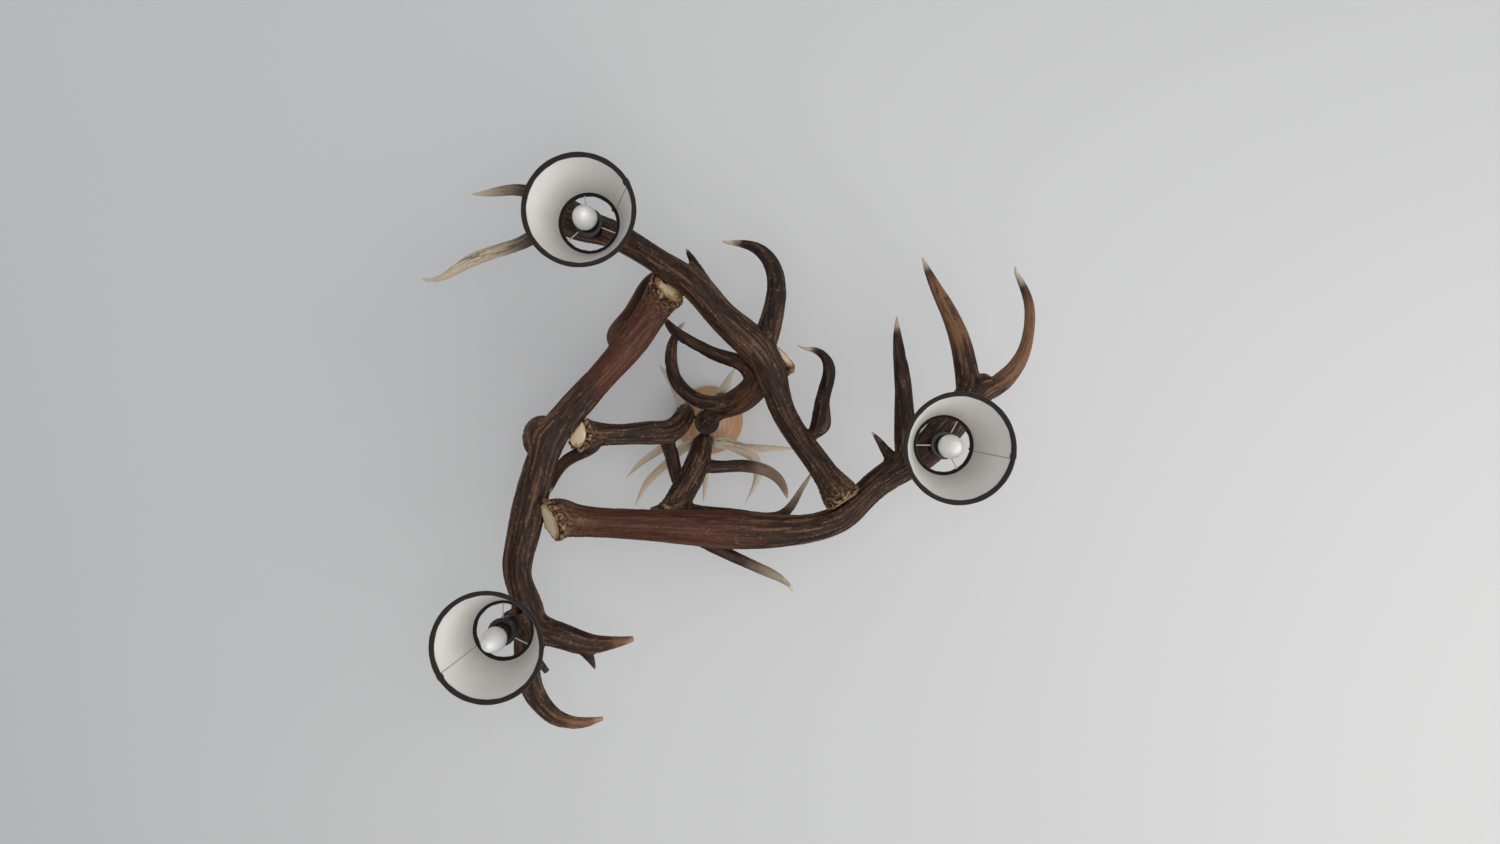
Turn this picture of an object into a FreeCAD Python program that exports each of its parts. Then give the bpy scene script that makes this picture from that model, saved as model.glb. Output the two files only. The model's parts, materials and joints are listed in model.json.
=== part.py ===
"""Antler chandelier: three large antlers in a ring, three smaller ones rising to a centre hub.

Millimetres, +Z up.  The origin is the middle of the canopy's face on the ceiling, so the whole
light hangs below zero.  Each large antler carries one lamp with a clip-on tapered shade.
"""
import FreeCAD, Part
import math
import os
import re
import Sketcher

# Driving sizes: name, value and what it measures.  Lengths in mm, angles in degrees.
SIZES = [
    ("clearance", 0.3, "gap between curved faces that meet"),
    ("thread_gap", 0.1, "radial gap in a screwed or pinned fit"),
    ("canopy_radius", 64, "turned wooden ceiling rose"),
    ("canopy_height", 38, "ceiling to its lower face"),
    ("canopy_wall", 6, ""),
    ("cable_hole_radius", 4, "cable inlet in the ceiling bracket"),
    ("cable_hole_offset", 17, "hook axis to the cable inlet"),
    ("bracket_length", 92, "steel strap screwed to the ceiling"),
    ("bracket_width", 24, ""),
    ("bracket_thickness", 3, ""),
    ("bracket_screw_spacing", 66, "between the two screw holes"),
    ("bracket_screw_radius", 2.6, ""),
    ("boss_radius", 8, "tapped boss under the strap"),
    ("boss_height", 12, ""),
    ("boss_thread", 10.5, "depth of the boss's tapped hole"),
    ("terminal_length", 32, ""),
    ("terminal_width", 16, ""),
    ("terminal_height", 14, ""),
    ("terminal_offset", 16, "hook axis to the middle of the block"),
    ("terminal_pitch", 10, "between the clamping screws"),
    ("terminal_screw_radius", 1.8, ""),
    ("collar_radius", 9, "knurled collar that holds the canopy up"),
    ("collar_height", 7, ""),
    ("hook_wire", 3, "radius of the hook's round bar"),
    ("hook_bend", 13, "hook centre to the bar's centreline"),
    ("hook_mouth", 50, "degrees left open in the hook"),
    ("hook_grip", 10, "shank length inside the boss"),
    ("link_wire", 2.5, "radius of the link's round bar"),
    ("link_bend", 8, "radius of the link's ends, at the centreline"),
    ("link_pitch", 36, "between the end bars' centrelines"),
    ("eye_wire", 3, "radius of the eye's round bar"),
    ("eye_bend", 12, "eye centre to the bar's centreline"),
    ("eye_boss_radius", 7.5, ""),
    ("eye_boss_height", 16, ""),
    ("rod_radius", 4, "centre rod"),
    ("rod_grip", 12, "rod length inside the eye's boss"),
    ("rod_nut_radius", 7.5, "across the corners"),
    ("rod_nut_height", 6.5, ""),
    ("washer_radius", 12, ""),
    ("washer_thickness", 1.6, ""),
    ("hub_radius", 21, "hub that the small antlers are screwed to"),
    ("hub_height", 56, ""),
    ("hub_rise", 120, "antler ring to the underside of the hub"),
    ("hub_screw_radius", 2.5, ""),
    ("hub_screw_head", 5, "head radius"),
    ("hub_screw_head_height", 3.2, ""),
    ("hub_screw_grip", 11, "length inside the hub"),
    ("hub_screw_reach", 53, "hub axis to the underside of the head"),
    ("hub_screw_flat", 0.5, "flat beyond the rim of the head"),
    ("hub_screw_sink", 12, "depth of that flat's pocket"),
    ("ring_drop", 340, "ceiling to the centreline of the antler ring"),
    ("lower_one_depth", 1.3, "an antler's thickness up and down, over its width from below"),
    ("lower_two_depth", 1.02, ""),
    ("lower_three_depth", 0.8, ""),
    ("upper_one_depth", 1.2, ""),
    ("upper_two_depth", 0.86, ""),
    ("upper_three_depth", 0.8, ""),
    ("dowel_radius", 4, "steel dowels hidden in the antler joints"),
    ("dowel_play", 0.5, "hole beyond each end of a dowel"),
    ("lamp_seat_drop", 19, "antler centreline to the flat that a lamp is fixed to"),
    ("lamp_seat_margin", 2, "flat beyond the rim of the holder cap"),
    ("below_antler", 60, "reach of the tools that cut an antler from below"),
    ("antler_hole_radius", 5, "open cable hole in the third large antler"),
    ("antler_hole_gap", 3, "from the rim of the holder cap"),
    ("antler_hole_heading", -57, "degrees from +X, seen from that antler's lamp"),
    ("lamp_one_x", -175, ""),
    ("lamp_one_y", -305, ""),
    ("lamp_one_lean", 0, "degrees out of plumb"),
    ("lamp_two_x", 366, ""),
    ("lamp_two_y", 32, ""),
    ("lamp_two_lean", 0, ""),
    ("lamp_three_x", -304, ""),
    ("lamp_three_y", 312, ""),
    ("lamp_three_lean", 4.5, ""),
    ("lean_heading", 140, "degrees from +X that a leaning lamp tips towards"),
    ("nipple_radius", 5, "threaded tube between antler and lampholder"),
    ("nipple_bore", 3.4, ""),
    ("nipple_rise", 22, "length inside the antler"),
    ("nipple_drop", 9, "length inside the holder cap"),
    ("nipple_nut_radius", 8.5, "across the corners"),
    ("nipple_nut_height", 3.5, ""),
    ("holder_cap_radius", 14.5, ""),
    ("holder_cap_height", 17, ""),
    ("holder_wall", 1.8, ""),
    ("holder_radius", 13.5, "threaded outside of the lampholder"),
    ("holder_length", 62, "antler seat to the holder's mouth"),
    ("holder_bore", 8, ""),
    ("holder_web", 26, "antler seat to the underside of the inner web"),
    ("flange_radius", 17, ""),
    ("flange_level", 42, "antler seat to the top of the flange"),
    ("flange_thickness", 2.5, ""),
    ("ring_radius", 21.5, "screwed ring that clamps the shade"),
    ("ring_height", 7, ""),
    ("contact_radius", 5, ""),
    ("contact_thickness", 1.2, ""),
    ("bulb_cap_radius", 6.9, "small screw cap"),
    ("bulb_cap_length", 24, ""),
    ("bulb_tip_radius", 3.2, "contact button of the cap"),
    ("bulb_tip_length", 2, ""),
    ("bulb_radius", 18, ""),
    ("bulb_length", 75, "cap to the tip of the glass"),
    ("glass_wall", 1, ""),
    ("shade_bottom_radius", 80, ""),
    ("shade_top_radius", 46, ""),
    ("shade_height", 126, ""),
    ("shade_recess", 9, "top rim down to the clamped ring"),
    ("shade_wall", 1.2, "fabric on its stiff lining"),
    ("hem_height", 6, "rolled edges"),
    ("hem_width", 4.4, ""),
    ("hem_slot", 3.6, "height of the fold that holds the wire"),
    ("frame_wire", 1.1, "radius of the shade's wires"),
    ("spider_radius", 19.5, "outside of the clamped ring"),
    ("spider_thickness", 1.5, ""),
    ("spider_gap", 0.5, "clamped ring to the holder"),
]

NUMBERS = {name: value for name, value, note in SIZES}
ORIGIN = FreeCAD.Vector(0, 0, 0)
UP = FreeCAD.Vector(0, 0, 1)
ALONG_X = FreeCAD.Vector(1, 0, 0)
ALONG_Y = FreeCAD.Vector(0, 1, 0)

doc = FreeCAD.newDocument("antler_chandelier")
nodes = []


# ---------------------------------------------------------------- sheet and small helpers

def make_sheet():
    """Put every driving size in one spreadsheet, each under its own alias."""
    sheet = doc.addObject("Spreadsheet::Sheet", "sizes")
    for row, (name, value, note) in enumerate(SIZES, start=1):
        sheet.set("A%d" % row, name)
        sheet.set("B%d" % row, str(value))
        sheet.set("C%d" % row, note)
        sheet.setAlias("B%d" % row, name)
    doc.recompute()
    return sheet


sheet = make_sheet()


def size(name):
    """Read one driving size back from the sheet."""
    return float(sheet.get(name))


def formula(text):
    """Prefix every driving size in a formula with the sheet's name."""
    def prefix(match):
        word = match.group()
        return "sizes." + word if word in NUMBERS else word
    return re.sub(r"[a-z_]+", prefix, text)


def bind(piece, field, text):
    """Tie one property of a piece to a formula of driving sizes."""
    piece.setExpression(field, formula(text))


def place(piece, x="0", y="0", z="0", turn=None):
    """Give a piece its place by formulas, and a fixed turn about an axis."""
    if turn:
        piece.Placement = FreeCAD.Placement(ORIGIN, FreeCAD.Rotation(*turn))
    bind(piece, "Placement.Base.x", x)
    bind(piece, "Placement.Base.y", y)
    bind(piece, "Placement.Base.z", z)
    return piece


def primitive(kind, fields, **where):
    """Make a Part primitive with its fields bound to formulas."""
    piece = doc.addObject("Part::" + kind, kind.lower())
    for field, text in fields.items():
        bind(piece, field, text)
    return place(piece, **where)


def cylinder(radius, height, **where):
    return primitive("Cylinder", {"Radius": radius, "Height": height}, **where)


def box(length, width, height, **where):
    return primitive("Box", {"Length": length, "Width": width, "Height": height}, **where)


def torus(bend, wire, **where):
    return primitive("Torus", {"Radius1": bend, "Radius2": wire}, **where)


def hexagon(corner_radius, height, **where):
    return primitive("Prism", {"Circumradius": corner_radius, "Height": height}, **where)


def cut(base, *tools):
    """Take each tool away from the base."""
    for tool in tools:
        result = doc.addObject("Part::Cut", "cut")
        result.Base = base
        result.Tool = tool
        base = result
    return base


def join(*pieces):
    result = doc.addObject("Part::MultiFuse", "join")
    result.Shapes = list(pieces)
    return result


def group(*pieces):
    """Hold separate like solids, such as a set of screws, in one sub-part."""
    result = doc.addObject("Part::Compound", "group")
    result.Links = list(pieces)
    return result


def name_node(piece, label):
    """Name a finished sub-part and list it for export."""
    piece.Label = label
    nodes.append(piece)
    return piece


def turned(corners):
    """A body turned about Z from a closed outline of (radius, height) formulas."""
    body = doc.addObject("PartDesign::Body", "turned")
    sketch = body.newObject("Sketcher::SketchObject", "outline")
    plane = [face for face in body.Origin.OriginFeatures if face.Role == "XZ_Plane"][0]
    sketch.AttachmentSupport = (plane, [""])
    sketch.MapMode = "FlatFace"
    values = [(evaluate(radius), evaluate(height)) for radius, height in corners]
    spots = [FreeCAD.Vector(radius, height, 0) for radius, height in values]
    count = len(spots)
    for index in range(count):
        line = Part.LineSegment(spots[index], spots[(index + 1) % count])
        sketch.addGeometry(line, False)
    for index in range(count):
        following = (index + 1) % count
        sketch.addConstraint(Sketcher.Constraint("Coincident", index, 2, following, 1))
    for index, (radius, height) in enumerate(corners):
        tie_corner(sketch, index, "X", radius, values[index][0])
        tie_corner(sketch, index, "Y", height, values[index][1])
    turn = body.newObject("PartDesign::Revolution", "turn")
    turn.Profile = sketch
    turn.ReferenceAxis = (sketch, ["V_Axis"])
    turn.Angle = 360
    body.Tip = turn
    return body


def tie_corner(sketch, index, direction, text, value):
    """Hold one corner of an outline on an axis, or at a driven distance from it."""
    if text == "0":
        axis = -2 if direction == "X" else -1
        sketch.addConstraint(Sketcher.Constraint("PointOnObject", index, 1, axis))
        return
    rule = Sketcher.Constraint("Distance" + direction, -1, 1, index, 1, value)
    number = sketch.addConstraint(rule)
    sketch.setExpression("Constraints[%d]" % number, formula(text))


def evaluate(text):
    """Work out a formula of driving sizes in this file's own code."""
    calculator = doc.addObject("App::FeaturePython", "calculator")
    calculator.addProperty("App::PropertyFloat", "result")
    calculator.setExpression("result", formula(text))
    calculator.recompute()
    answer = calculator.result
    doc.removeObject(calculator.Name)
    return answer


# ---------------------------------------------------------------- ceiling fixing and suspension

HOOK_CENTRE = "(0 - canopy_height - collar_height - 1 - hook_wire - hook_bend)"
LINK_PIVOT = HOOK_CENTRE[:-1] + " - hook_bend)"
LINK_TOP = LINK_PIVOT[:-1] + " + hook_wire + link_wire + clearance)"
EYE_PIVOT = LINK_TOP[:-1] + " - link_pitch)"
EYE_CENTRE = EYE_PIVOT[:-1] + " + link_wire + eye_wire + clearance - eye_bend)"
EYE_FOOT = EYE_CENTRE[:-1] + " - eye_bend - eye_boss_height)"
HUB_FOOT = "(hub_rise - ring_drop)"
HUB_HEAD = "(hub_rise - ring_drop + hub_height)"


def make_bracket():
    """Steel strap with two screw holes, a cable inlet and a tapped boss for the hook."""
    strap = box("bracket_length", "bracket_width", "bracket_thickness",
                x="-bracket_length / 2", y="-bracket_width / 2", z="-bracket_thickness")
    boss = cylinder("boss_radius", "boss_height", z="-boss_height")
    blank = join(strap, boss)
    deep = "boss_height * 2"
    tapped = cylinder("hook_wire + thread_gap", "boss_thread", z="-boss_height")
    left = cylinder("bracket_screw_radius", deep, x="-bracket_screw_spacing / 2", z="-boss_height")
    right = cylinder("bracket_screw_radius", deep, x="bracket_screw_spacing / 2", z="-boss_height")
    inlet = cylinder("cable_hole_radius", deep, x="cable_hole_offset", z="-boss_height")
    name_node(cut(blank, tapped, left, right, inlet), "ceiling_bracket")


def make_terminal_block():
    """Insulating block under the strap, with three clamping screws in blind holes."""
    top = "-bracket_thickness"
    block = box("terminal_length", "terminal_width", "terminal_height",
                x="-terminal_length / 2", y="terminal_offset - terminal_width / 2",
                z=top + " - terminal_height")
    depth = "terminal_height * 0.6"
    middle = "terminal_offset"
    screws = []
    for step in (-1, 0, 1):
        across = "%d * terminal_pitch" % step
        foot = top + " - terminal_height"
        hole = cylinder("terminal_screw_radius + thread_gap", depth, x=across, y=middle, z=foot)
        block = cut(block, hole)
        screws.append(cylinder("terminal_screw_radius", "terminal_height * 0.5",
                               x=across, y=middle, z=foot + " + terminal_height * 0.1"))
    name_node(block, "terminal_block")
    name_node(group(*screws), "terminal_screws")


def make_canopy():
    """Turned wooden cup with an ogee edge; its rim meets the ceiling."""
    floor = "canopy_wall - canopy_height"
    bore = "hook_wire + thread_gap * 5"
    corners = [
        ("canopy_radius - canopy_wall", "0"),
        ("canopy_radius", "0"),
        ("canopy_radius", "-canopy_height * 0.18"),
        ("canopy_radius * 0.97", "-canopy_height * 0.34"),
        ("canopy_radius * 0.88", "-canopy_height * 0.5"),
        ("canopy_radius * 0.84", "-canopy_height * 0.68"),
        ("canopy_radius * 0.75", "-canopy_height * 0.86"),
        ("canopy_radius * 0.6", "-canopy_height"),
        (bore, "-canopy_height"),
        (bore, floor),
        ("canopy_radius * 0.6", floor),
        ("canopy_radius * 0.84 - canopy_wall", "-canopy_height * 0.5"),
        ("canopy_radius - canopy_wall", "-canopy_height * 0.2"),
    ]
    name_node(turned(corners), "canopy")


def make_canopy_collar():
    """Threaded brass collar under the canopy."""
    top = "0 - canopy_height"
    foot = top + " - collar_height"
    bore = "hook_wire + thread_gap"
    corners = [
        (bore, top),
        ("collar_radius * 0.8", top),
        ("collar_radius", top + " - collar_height * 0.2"),
        ("collar_radius", top + " - collar_height * 0.75"),
        ("collar_radius * 0.7", foot),
        (bore, foot),
    ]
    name_node(turned(corners), "canopy_collar")


def make_hook():
    """Round bar bent to an open hook, with a straight threaded shank."""
    bend = torus("hook_bend", "hook_wire", z=HOOK_CENTRE, turn=(ALONG_X, 90))
    bind(bend, "Angle3", "360 - hook_mouth")
    bend.Placement.Rotation = FreeCAD.Rotation(ALONG_X, 90).multiply(FreeCAD.Rotation(UP, 90))
    shank_foot = HOOK_CENTRE + " + hook_bend"
    shank = cylinder("hook_wire", "0 - boss_height + hook_grip - (%s)" % shank_foot, z=shank_foot)
    name_node(join(bend, shank), "ceiling_hook")


def make_link():
    """One oval chain link, in the plane across the hook."""
    arc_top = LINK_TOP + " - link_bend"
    arc_foot = EYE_PIVOT + " + link_bend"
    upright = (ALONG_Y, 90)
    top = torus("link_bend", "link_wire", z=arc_top, turn=upright)
    foot = torus("link_bend", "link_wire", z=arc_foot, turn=upright)
    top.Placement.Rotation = FreeCAD.Rotation(ALONG_Y, 90).multiply(FreeCAD.Rotation(UP, 90))
    foot.Placement.Rotation = FreeCAD.Rotation(ALONG_Y, 90).multiply(FreeCAD.Rotation(UP, -90))
    top.Angle3 = 180
    foot.Angle3 = 180
    run = "link_pitch - link_bend * 2"
    left = cylinder("link_wire", run, y="-link_bend", z=arc_foot)
    right = cylinder("link_wire", run, y="link_bend", z=arc_foot)
    name_node(join(top, foot, left, right), "hanging_link")


def make_eye():
    """Forged eye whose tapped boss holds the centre rod."""
    ring = torus("eye_bend", "eye_wire", z=EYE_CENTRE, turn=(ALONG_X, 90))
    boss = cylinder("eye_boss_radius", "eye_boss_height", z=EYE_FOOT)
    bore = cylinder("rod_radius + thread_gap", "rod_grip + 1", z=EYE_FOOT)
    name_node(cut(join(ring, boss), bore), "hanging_eye")


def make_centre_rod():
    """Threaded rod from the eye down through the hub."""
    foot = HUB_FOOT + " - washer_thickness - rod_nut_height - 2"
    name_node(cylinder("rod_radius", "%s + rod_grip - (%s)" % (EYE_FOOT, foot), z=foot), "centre_rod")


def make_hub():
    """Dark steel hub between the three small antlers, drilled for their screws."""
    hub = cylinder("hub_radius", "hub_height", z=HUB_FOOT)
    bore = cylinder("rod_radius + thread_gap", "hub_height * 2", z=HUB_FOOT + " - hub_height / 2")
    hub = cut(hub, bore)
    for heading, level in HUB_SCREWS:
        hub = cut(hub, radial_bar("hub_screw_radius + thread_gap", "hub_radius - hub_screw_grip",
                                  "hub_screw_reach", heading, level))
    name_node(hub, "centre_hub")


def make_rod_nuts():
    """Nut and washer above and below the hub."""
    washers = []
    nuts = []
    washer_feet = (HUB_FOOT + " - washer_thickness", HUB_HEAD)
    nut_feet = (HUB_FOOT + " - washer_thickness - rod_nut_height", HUB_HEAD + " + washer_thickness")
    bore = "rod_radius + thread_gap"
    for washer_foot, nut_foot in zip(washer_feet, nut_feet):
        plate = cylinder("washer_radius", "washer_thickness", z=washer_foot)
        hole = cylinder(bore, "washer_thickness * 3", z=washer_foot + " - washer_thickness")
        washers.append(cut(plate, hole))
        blank = hexagon("rod_nut_radius", "rod_nut_height", z=nut_foot)
        hole = cylinder(bore, "rod_nut_height * 3", z=nut_foot + " - rod_nut_height")
        nuts.append(cut(blank, hole))
    name_node(group(*washers), "rod_washers")
    name_node(group(*nuts), "rod_nuts")


# Heading from the hub in degrees and height above the antler ring, one screw to each small antler.
HUB_SCREWS = [(-45, 152), (102, 146), (201, 140)]


def radial_bar(radius, inner, outer, heading, level):
    """A bar that points out from the hub axis, between two distances from it."""
    radians = math.radians(heading)
    cosine = "%.6f" % math.cos(radians)
    sine = "%.6f" % math.sin(radians)
    start = "(%s)" % inner
    lay_down = FreeCAD.Rotation(UP, heading).multiply(FreeCAD.Rotation(ALONG_Y, 90))
    bar = cylinder(radius, "%s - %s" % (outer, start), x=start + " * (%s)" % cosine,
                   y=start + " * (%s)" % sine, z="%d - ring_drop" % level)
    bar.Placement.Rotation = lay_down
    return bar


def make_hub_screws():
    """Pan-head screws through the small antlers into the hub."""
    screws = []
    for heading, level in HUB_SCREWS:
        shank = radial_bar("hub_screw_radius", "hub_radius - hub_screw_grip", "hub_screw_reach + 1",
                           heading, level)
        head = radial_bar("hub_screw_head", "hub_screw_reach",
                          "hub_screw_reach + hub_screw_head_height", heading, level)
        screws.append(join(shank, head))
    name_node(group(*screws), "hub_screws")


# ---------------------------------------------------------------- antlers

LAMPS = {
    "one": (size("lamp_one_x"), size("lamp_one_y")),
    "two": (size("lamp_two_x"), size("lamp_two_y")),
    "three": (size("lamp_three_x"), size("lamp_three_y")),
}


def by_lamp(lamp, step_x, step_y, height, radius):
    """A point of an antler that is set out from the lamp it carries."""
    lamp_x, lamp_y = LAMPS[lamp]
    return (lamp_x + step_x, lamp_y + step_y, height, radius)


# Every point is (x, y, height above the antler ring, radius).  The first limb of each antler is
# its beam, from the sawn face and burr outwards; the others are tines that start inside it.
LOWER_ONE = [
    [(219, 122, -22, 23), (215, 116, -21, 28), (206, 103, -19, 28), (195, 87, -17, 23),
     (168, 50, -11, 20), (134, 2, -7, 19), (116, -38, -4, 21), (100, -91, -5, 25),
     (73, -127, -7, 27), (43, -153, -9, 25), (-5, -205, -10, 24), (-55, -243, -9, 21),
     (-104, -274, -6, 20), by_lamp("one", 23, 6, -1, 22), by_lamp("one", -8, -4, 0, 25),
     by_lamp("one", -37, -17, 2, 29), by_lamp("one", -66, -25, 5, 27), by_lamp("one", -90, -30, 8, 14)],
    [by_lamp("one", -55, -22, 4, 19), by_lamp("one", -85, -46, 12, 14), by_lamp("one", -113, -64, 20, 10),
     by_lamp("one", -150, -66, 32, 8), by_lamp("one", -186, -63, 40, 4), by_lamp("one", -203, -63, 44, 1.6)],
    [by_lamp("one", -50, -18, 3, 20), by_lamp("one", -76, -4, 3, 14), by_lamp("one", -104, 15, 6, 11),
     by_lamp("one", -174, 38, 15, 10.5), by_lamp("one", -207, 52, 20, 9.5),
     by_lamp("one", -231, 66, 24, 7), by_lamp("one", -252, 75, 28, 4.5), by_lamp("one", -280, 74, 34, 1.8)],
    [(84, -108, -5, 20), (100, -150, 4, 19), (110, -190, 14, 16.5), (113, -222, 25, 15),
     (108, -250, 37, 13.5), (94, -274, 47, 10.5), (73, -288, 54, 7.5), (50, -293, 59, 5), (24, -297, 64, 1.8)],
    [(162, 40, -9, 16), (177, 12, 1, 14), (186, -29, 14, 13), (195, -66, 25, 11.5),
     (198, -92, 32, 9.5), (188, -111, 38, 6.5), (168, -120, 42, 4), (148, -127, 46, 1.6)],
    [(10, -190, -10, 16), (-4, -226, -5, 11), (-20, -257, 2, 7), (-31, -277, 6, 1.8)],
]
LOWER_TWO = [
    [(-242, 151, -34, 28.5), (-237, 149, -31, 32), (-228, 148, -26, 31.5), (-210, 150, -18, 27),
     (-150, 157, -9, 23.5), (-90, 161, -4, 25), (-20, 165, 0, 28), (20, 167, 2, 30),
     (82, 170, 2, 29), (150, 168, 0, 24), (213, 150, -2, 22), by_lamp("two", -103, 71, -2, 22.5),
     by_lamp("two", -45, 32, -1, 25), by_lamp("two", 0, -5, 0, 27), by_lamp("two", 36, -49, 5, 28),
     by_lamp("two", 62, -78, 9, 25), by_lamp("two", 82, -98, 12, 18), by_lamp("two", 89, -106, 13, 9)],
    [by_lamp("two", 58, -74, 8, 22), by_lamp("two", 50, -121, 15, 19), by_lamp("two", 40, -174, 28, 16.5),
     by_lamp("two", 25, -216, 42, 13.5), by_lamp("two", 5, -261, 55, 9), by_lamp("two", -11, -305, 68, 1.8)],
    [by_lamp("two", 62, -78, 9, 21), by_lamp("two", 107, -98, 14, 16), by_lamp("two", 135, -127, 20, 12.5),
     by_lamp("two", 150, -158, 26, 10), by_lamp("two", 157, -191, 32, 9), by_lamp("two", 156, -232, 38, 8),
     by_lamp("two", 144, -264, 42, 5.5), by_lamp("two", 137, -289, 45, 1.8)],
    [by_lamp("two", -42, 30, -1, 20), by_lamp("two", -48, -12, 4, 17.5), by_lamp("two", -50, -69, 10, 14.5),
     by_lamp("two", -53, -122, 20, 12), by_lamp("two", -57, -178, 34, 6.5), by_lamp("two", -56, -206, 42, 1.8)],
    [by_lamp("two", -62, 44, -1, 13), by_lamp("two", -82, 8, 1, 8), by_lamp("two", -103, -20, 4, 1.8)],
]
LOWER_THREE = [
    [(-57, -213, -8, 27), (-60, -210, -5, 31), (-65, -204, 1, 31), (-78, -186, 8, 26.5),
     (-107, -143, 4, 26), (-139, -102, 1, 24), (-166, -72, -1, 22.5), (-200, -34, -3, 24),
     (-235, 10, -5, 24.5), (-257, 60, -6, 25.5), (-274, 120, -6, 27), (-288, 180, -4, 26),
     (-296, 241, -2, 22.5), by_lamp("three", 18, -38, 0, 23), by_lamp("three", 25, -1, 2, 27),
     by_lamp("three", 25, 31, 4, 26), by_lamp("three", 21, 64, 6, 21), by_lamp("three", 26, 104, 10, 18.5),
     by_lamp("three", 41, 135, 15, 16.5), by_lamp("three", 63, 158, 21, 14.5),
     by_lamp("three", 90, 170, 28, 12), by_lamp("three", 114, 171, 34, 8.5),
     by_lamp("three", 138, 167, 40, 4)],
    [by_lamp("three", 26, 2, 2, 23), by_lamp("three", 62, 20, 2, 22), by_lamp("three", 89, 30, 4, 20.5),
     by_lamp("three", 112, 38, 8, 18.5), by_lamp("three", 136, 40, 12, 14),
     by_lamp("three", 161, 38, 16, 9.5), by_lamp("three", 189, 33, 20, 5)],
    [by_lamp("three", 104, 38, 8, 15), by_lamp("three", 118, 58, 10, 9), by_lamp("three", 128, 82, 12, 1.8)],
    [by_lamp("three", 24, 50, 4, 12), by_lamp("three", 42, 69, 4, 6.5), by_lamp("three", 53, 83, 5, 5.5)],
    [by_lamp("three", 28, 0, -2, 19), by_lamp("three", 8, 0, -5, 20), by_lamp("three", -6, 2, -6, 19),
     by_lamp("three", -15, 4, -6, 12)],
    [(-124, -124, 3, 22), (-134, -142, 18, 25), (-132, -159, 36, 18), (-121, -181, 48, 12.5),
     (-110, -206, 57, 10.5), (-98, -227, 63, 10), (-80, -242, 67, 9.5), (-51, -253, 69, 4.5)],
    [(-246, 26, -5, 30), (-259, 22, 8, 35), (-268, 18, 27, 31), (-272, 14, 50, 20),
     (-268, 18, 78, 11.5), (-259, 30, 108, 3)],
]
UPPER_ONE = [
    [(123, -109, 23, 24), (118, -104, 25, 29), (107, -94, 29, 29), (97, -82, 33, 24),
     (80, -60, 41, 22), (54, -37, 56, 21.5), (34, -28, 78, 19.5), (27, -27, 104, 18),
     (27, -27, 140, 17), (24, -33, 170, 14)],
    [(90, -74, 37, 16), (63, -92, 40, 14), (39, -104, 43, 12.5), (11, -113, 46, 11.5),
     (-13, -125, 49, 10.5), (-36, -138, 52, 10), (-56, -154, 56, 8), (-72, -171, 60, 3)],
    [(56, -38, 55, 17), (23, -32, 60, 14), (-5, -34, 64, 12.5), (-30, -47, 69, 12), (-50, -69, 74, 11.5),
     (-58, -95, 80, 10.5), (-57, -128, 88, 8.5), (-49, -150, 95, 5.5), (-36, -168, 102, 1.8)],
    [(25, -30, 160, 12), (22, -42, 175, 10), (30, -60, 190, 8), (39, -78, 202, 5), (49, -93, 212, 1.6)],
    [(38, -31, 76, 17), (20, -18, 86, 15), (3, -5, 90, 12.5), (-7, 4, 91, 8)],
]
UPPER_TWO = [
    [(-63, 163, 22, 28), (-61, 160, 27, 33), (-57, 153, 35, 32.5), (-50, 139, 45, 25),
     (-39, 116, 53, 22), (-26, 93, 61, 21.5), (-13, 60, 72, 20), (-8, 41, 92, 18),
     (-8, 37, 115, 17), (-8, 37, 145, 16.5), (-6, 39, 172, 13)],
    [(-54, 148, 40, 18), (-38, 170, 47, 14), (-16, 187, 48, 12), (12, 202, 44, 10.5), (45, 217, 41, 10),
     (87, 236, 41, 9), (114, 249, 43, 7.5), (130, 260, 46, 5), (142, 277, 49, 1.8)],
    [(-46, 136, 42, 16), (-10, 146, 48, 12.5), (30, 150, 49, 12), (70, 154, 49, 11.5),
     (104, 156, 50, 10.5), (127, 148, 53, 8.5), (146, 126, 57, 6.5), (162, 100, 61, 4.5), (173, 80, 64, 1.8)],
    [(-14, 62, 70, 15), (18, 73, 69, 11), (52, 71, 73, 10.5), (85, 75, 78, 10.5), (112, 87, 84, 9.5),
     (128, 107, 90, 7), (135, 128, 95, 2)],
    [(-7, 38, 160, 11), (-30, 40, 169, 9.5), (-56, 58, 174, 8.5), (-76, 78, 179, 8),
     (-102, 103, 186, 7), (-117, 126, 191, 4.5), (-128, 150, 196, 1.8)],
    [(-7, 38, 164, 12), (12, 36, 176, 11.5), (34, 38, 182, 11), (55, 46, 186, 11), (75, 58, 190, 10),
     (87, 77, 193, 8.5), (87, 100, 195, 7), (77, 125, 198, 4), (64, 150, 200, 1.6)],
    [(52, 45, 185, 8), (88, 47, 191, 7), (119, 48, 200, 5.5), (158, 49, 210, 1.8)],
    [(-7, 38, 160, 10), (-3, 70, 181, 7.5), (-4, 108, 194, 5.5), (-8, 143, 204, 1.6)],
]
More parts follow.
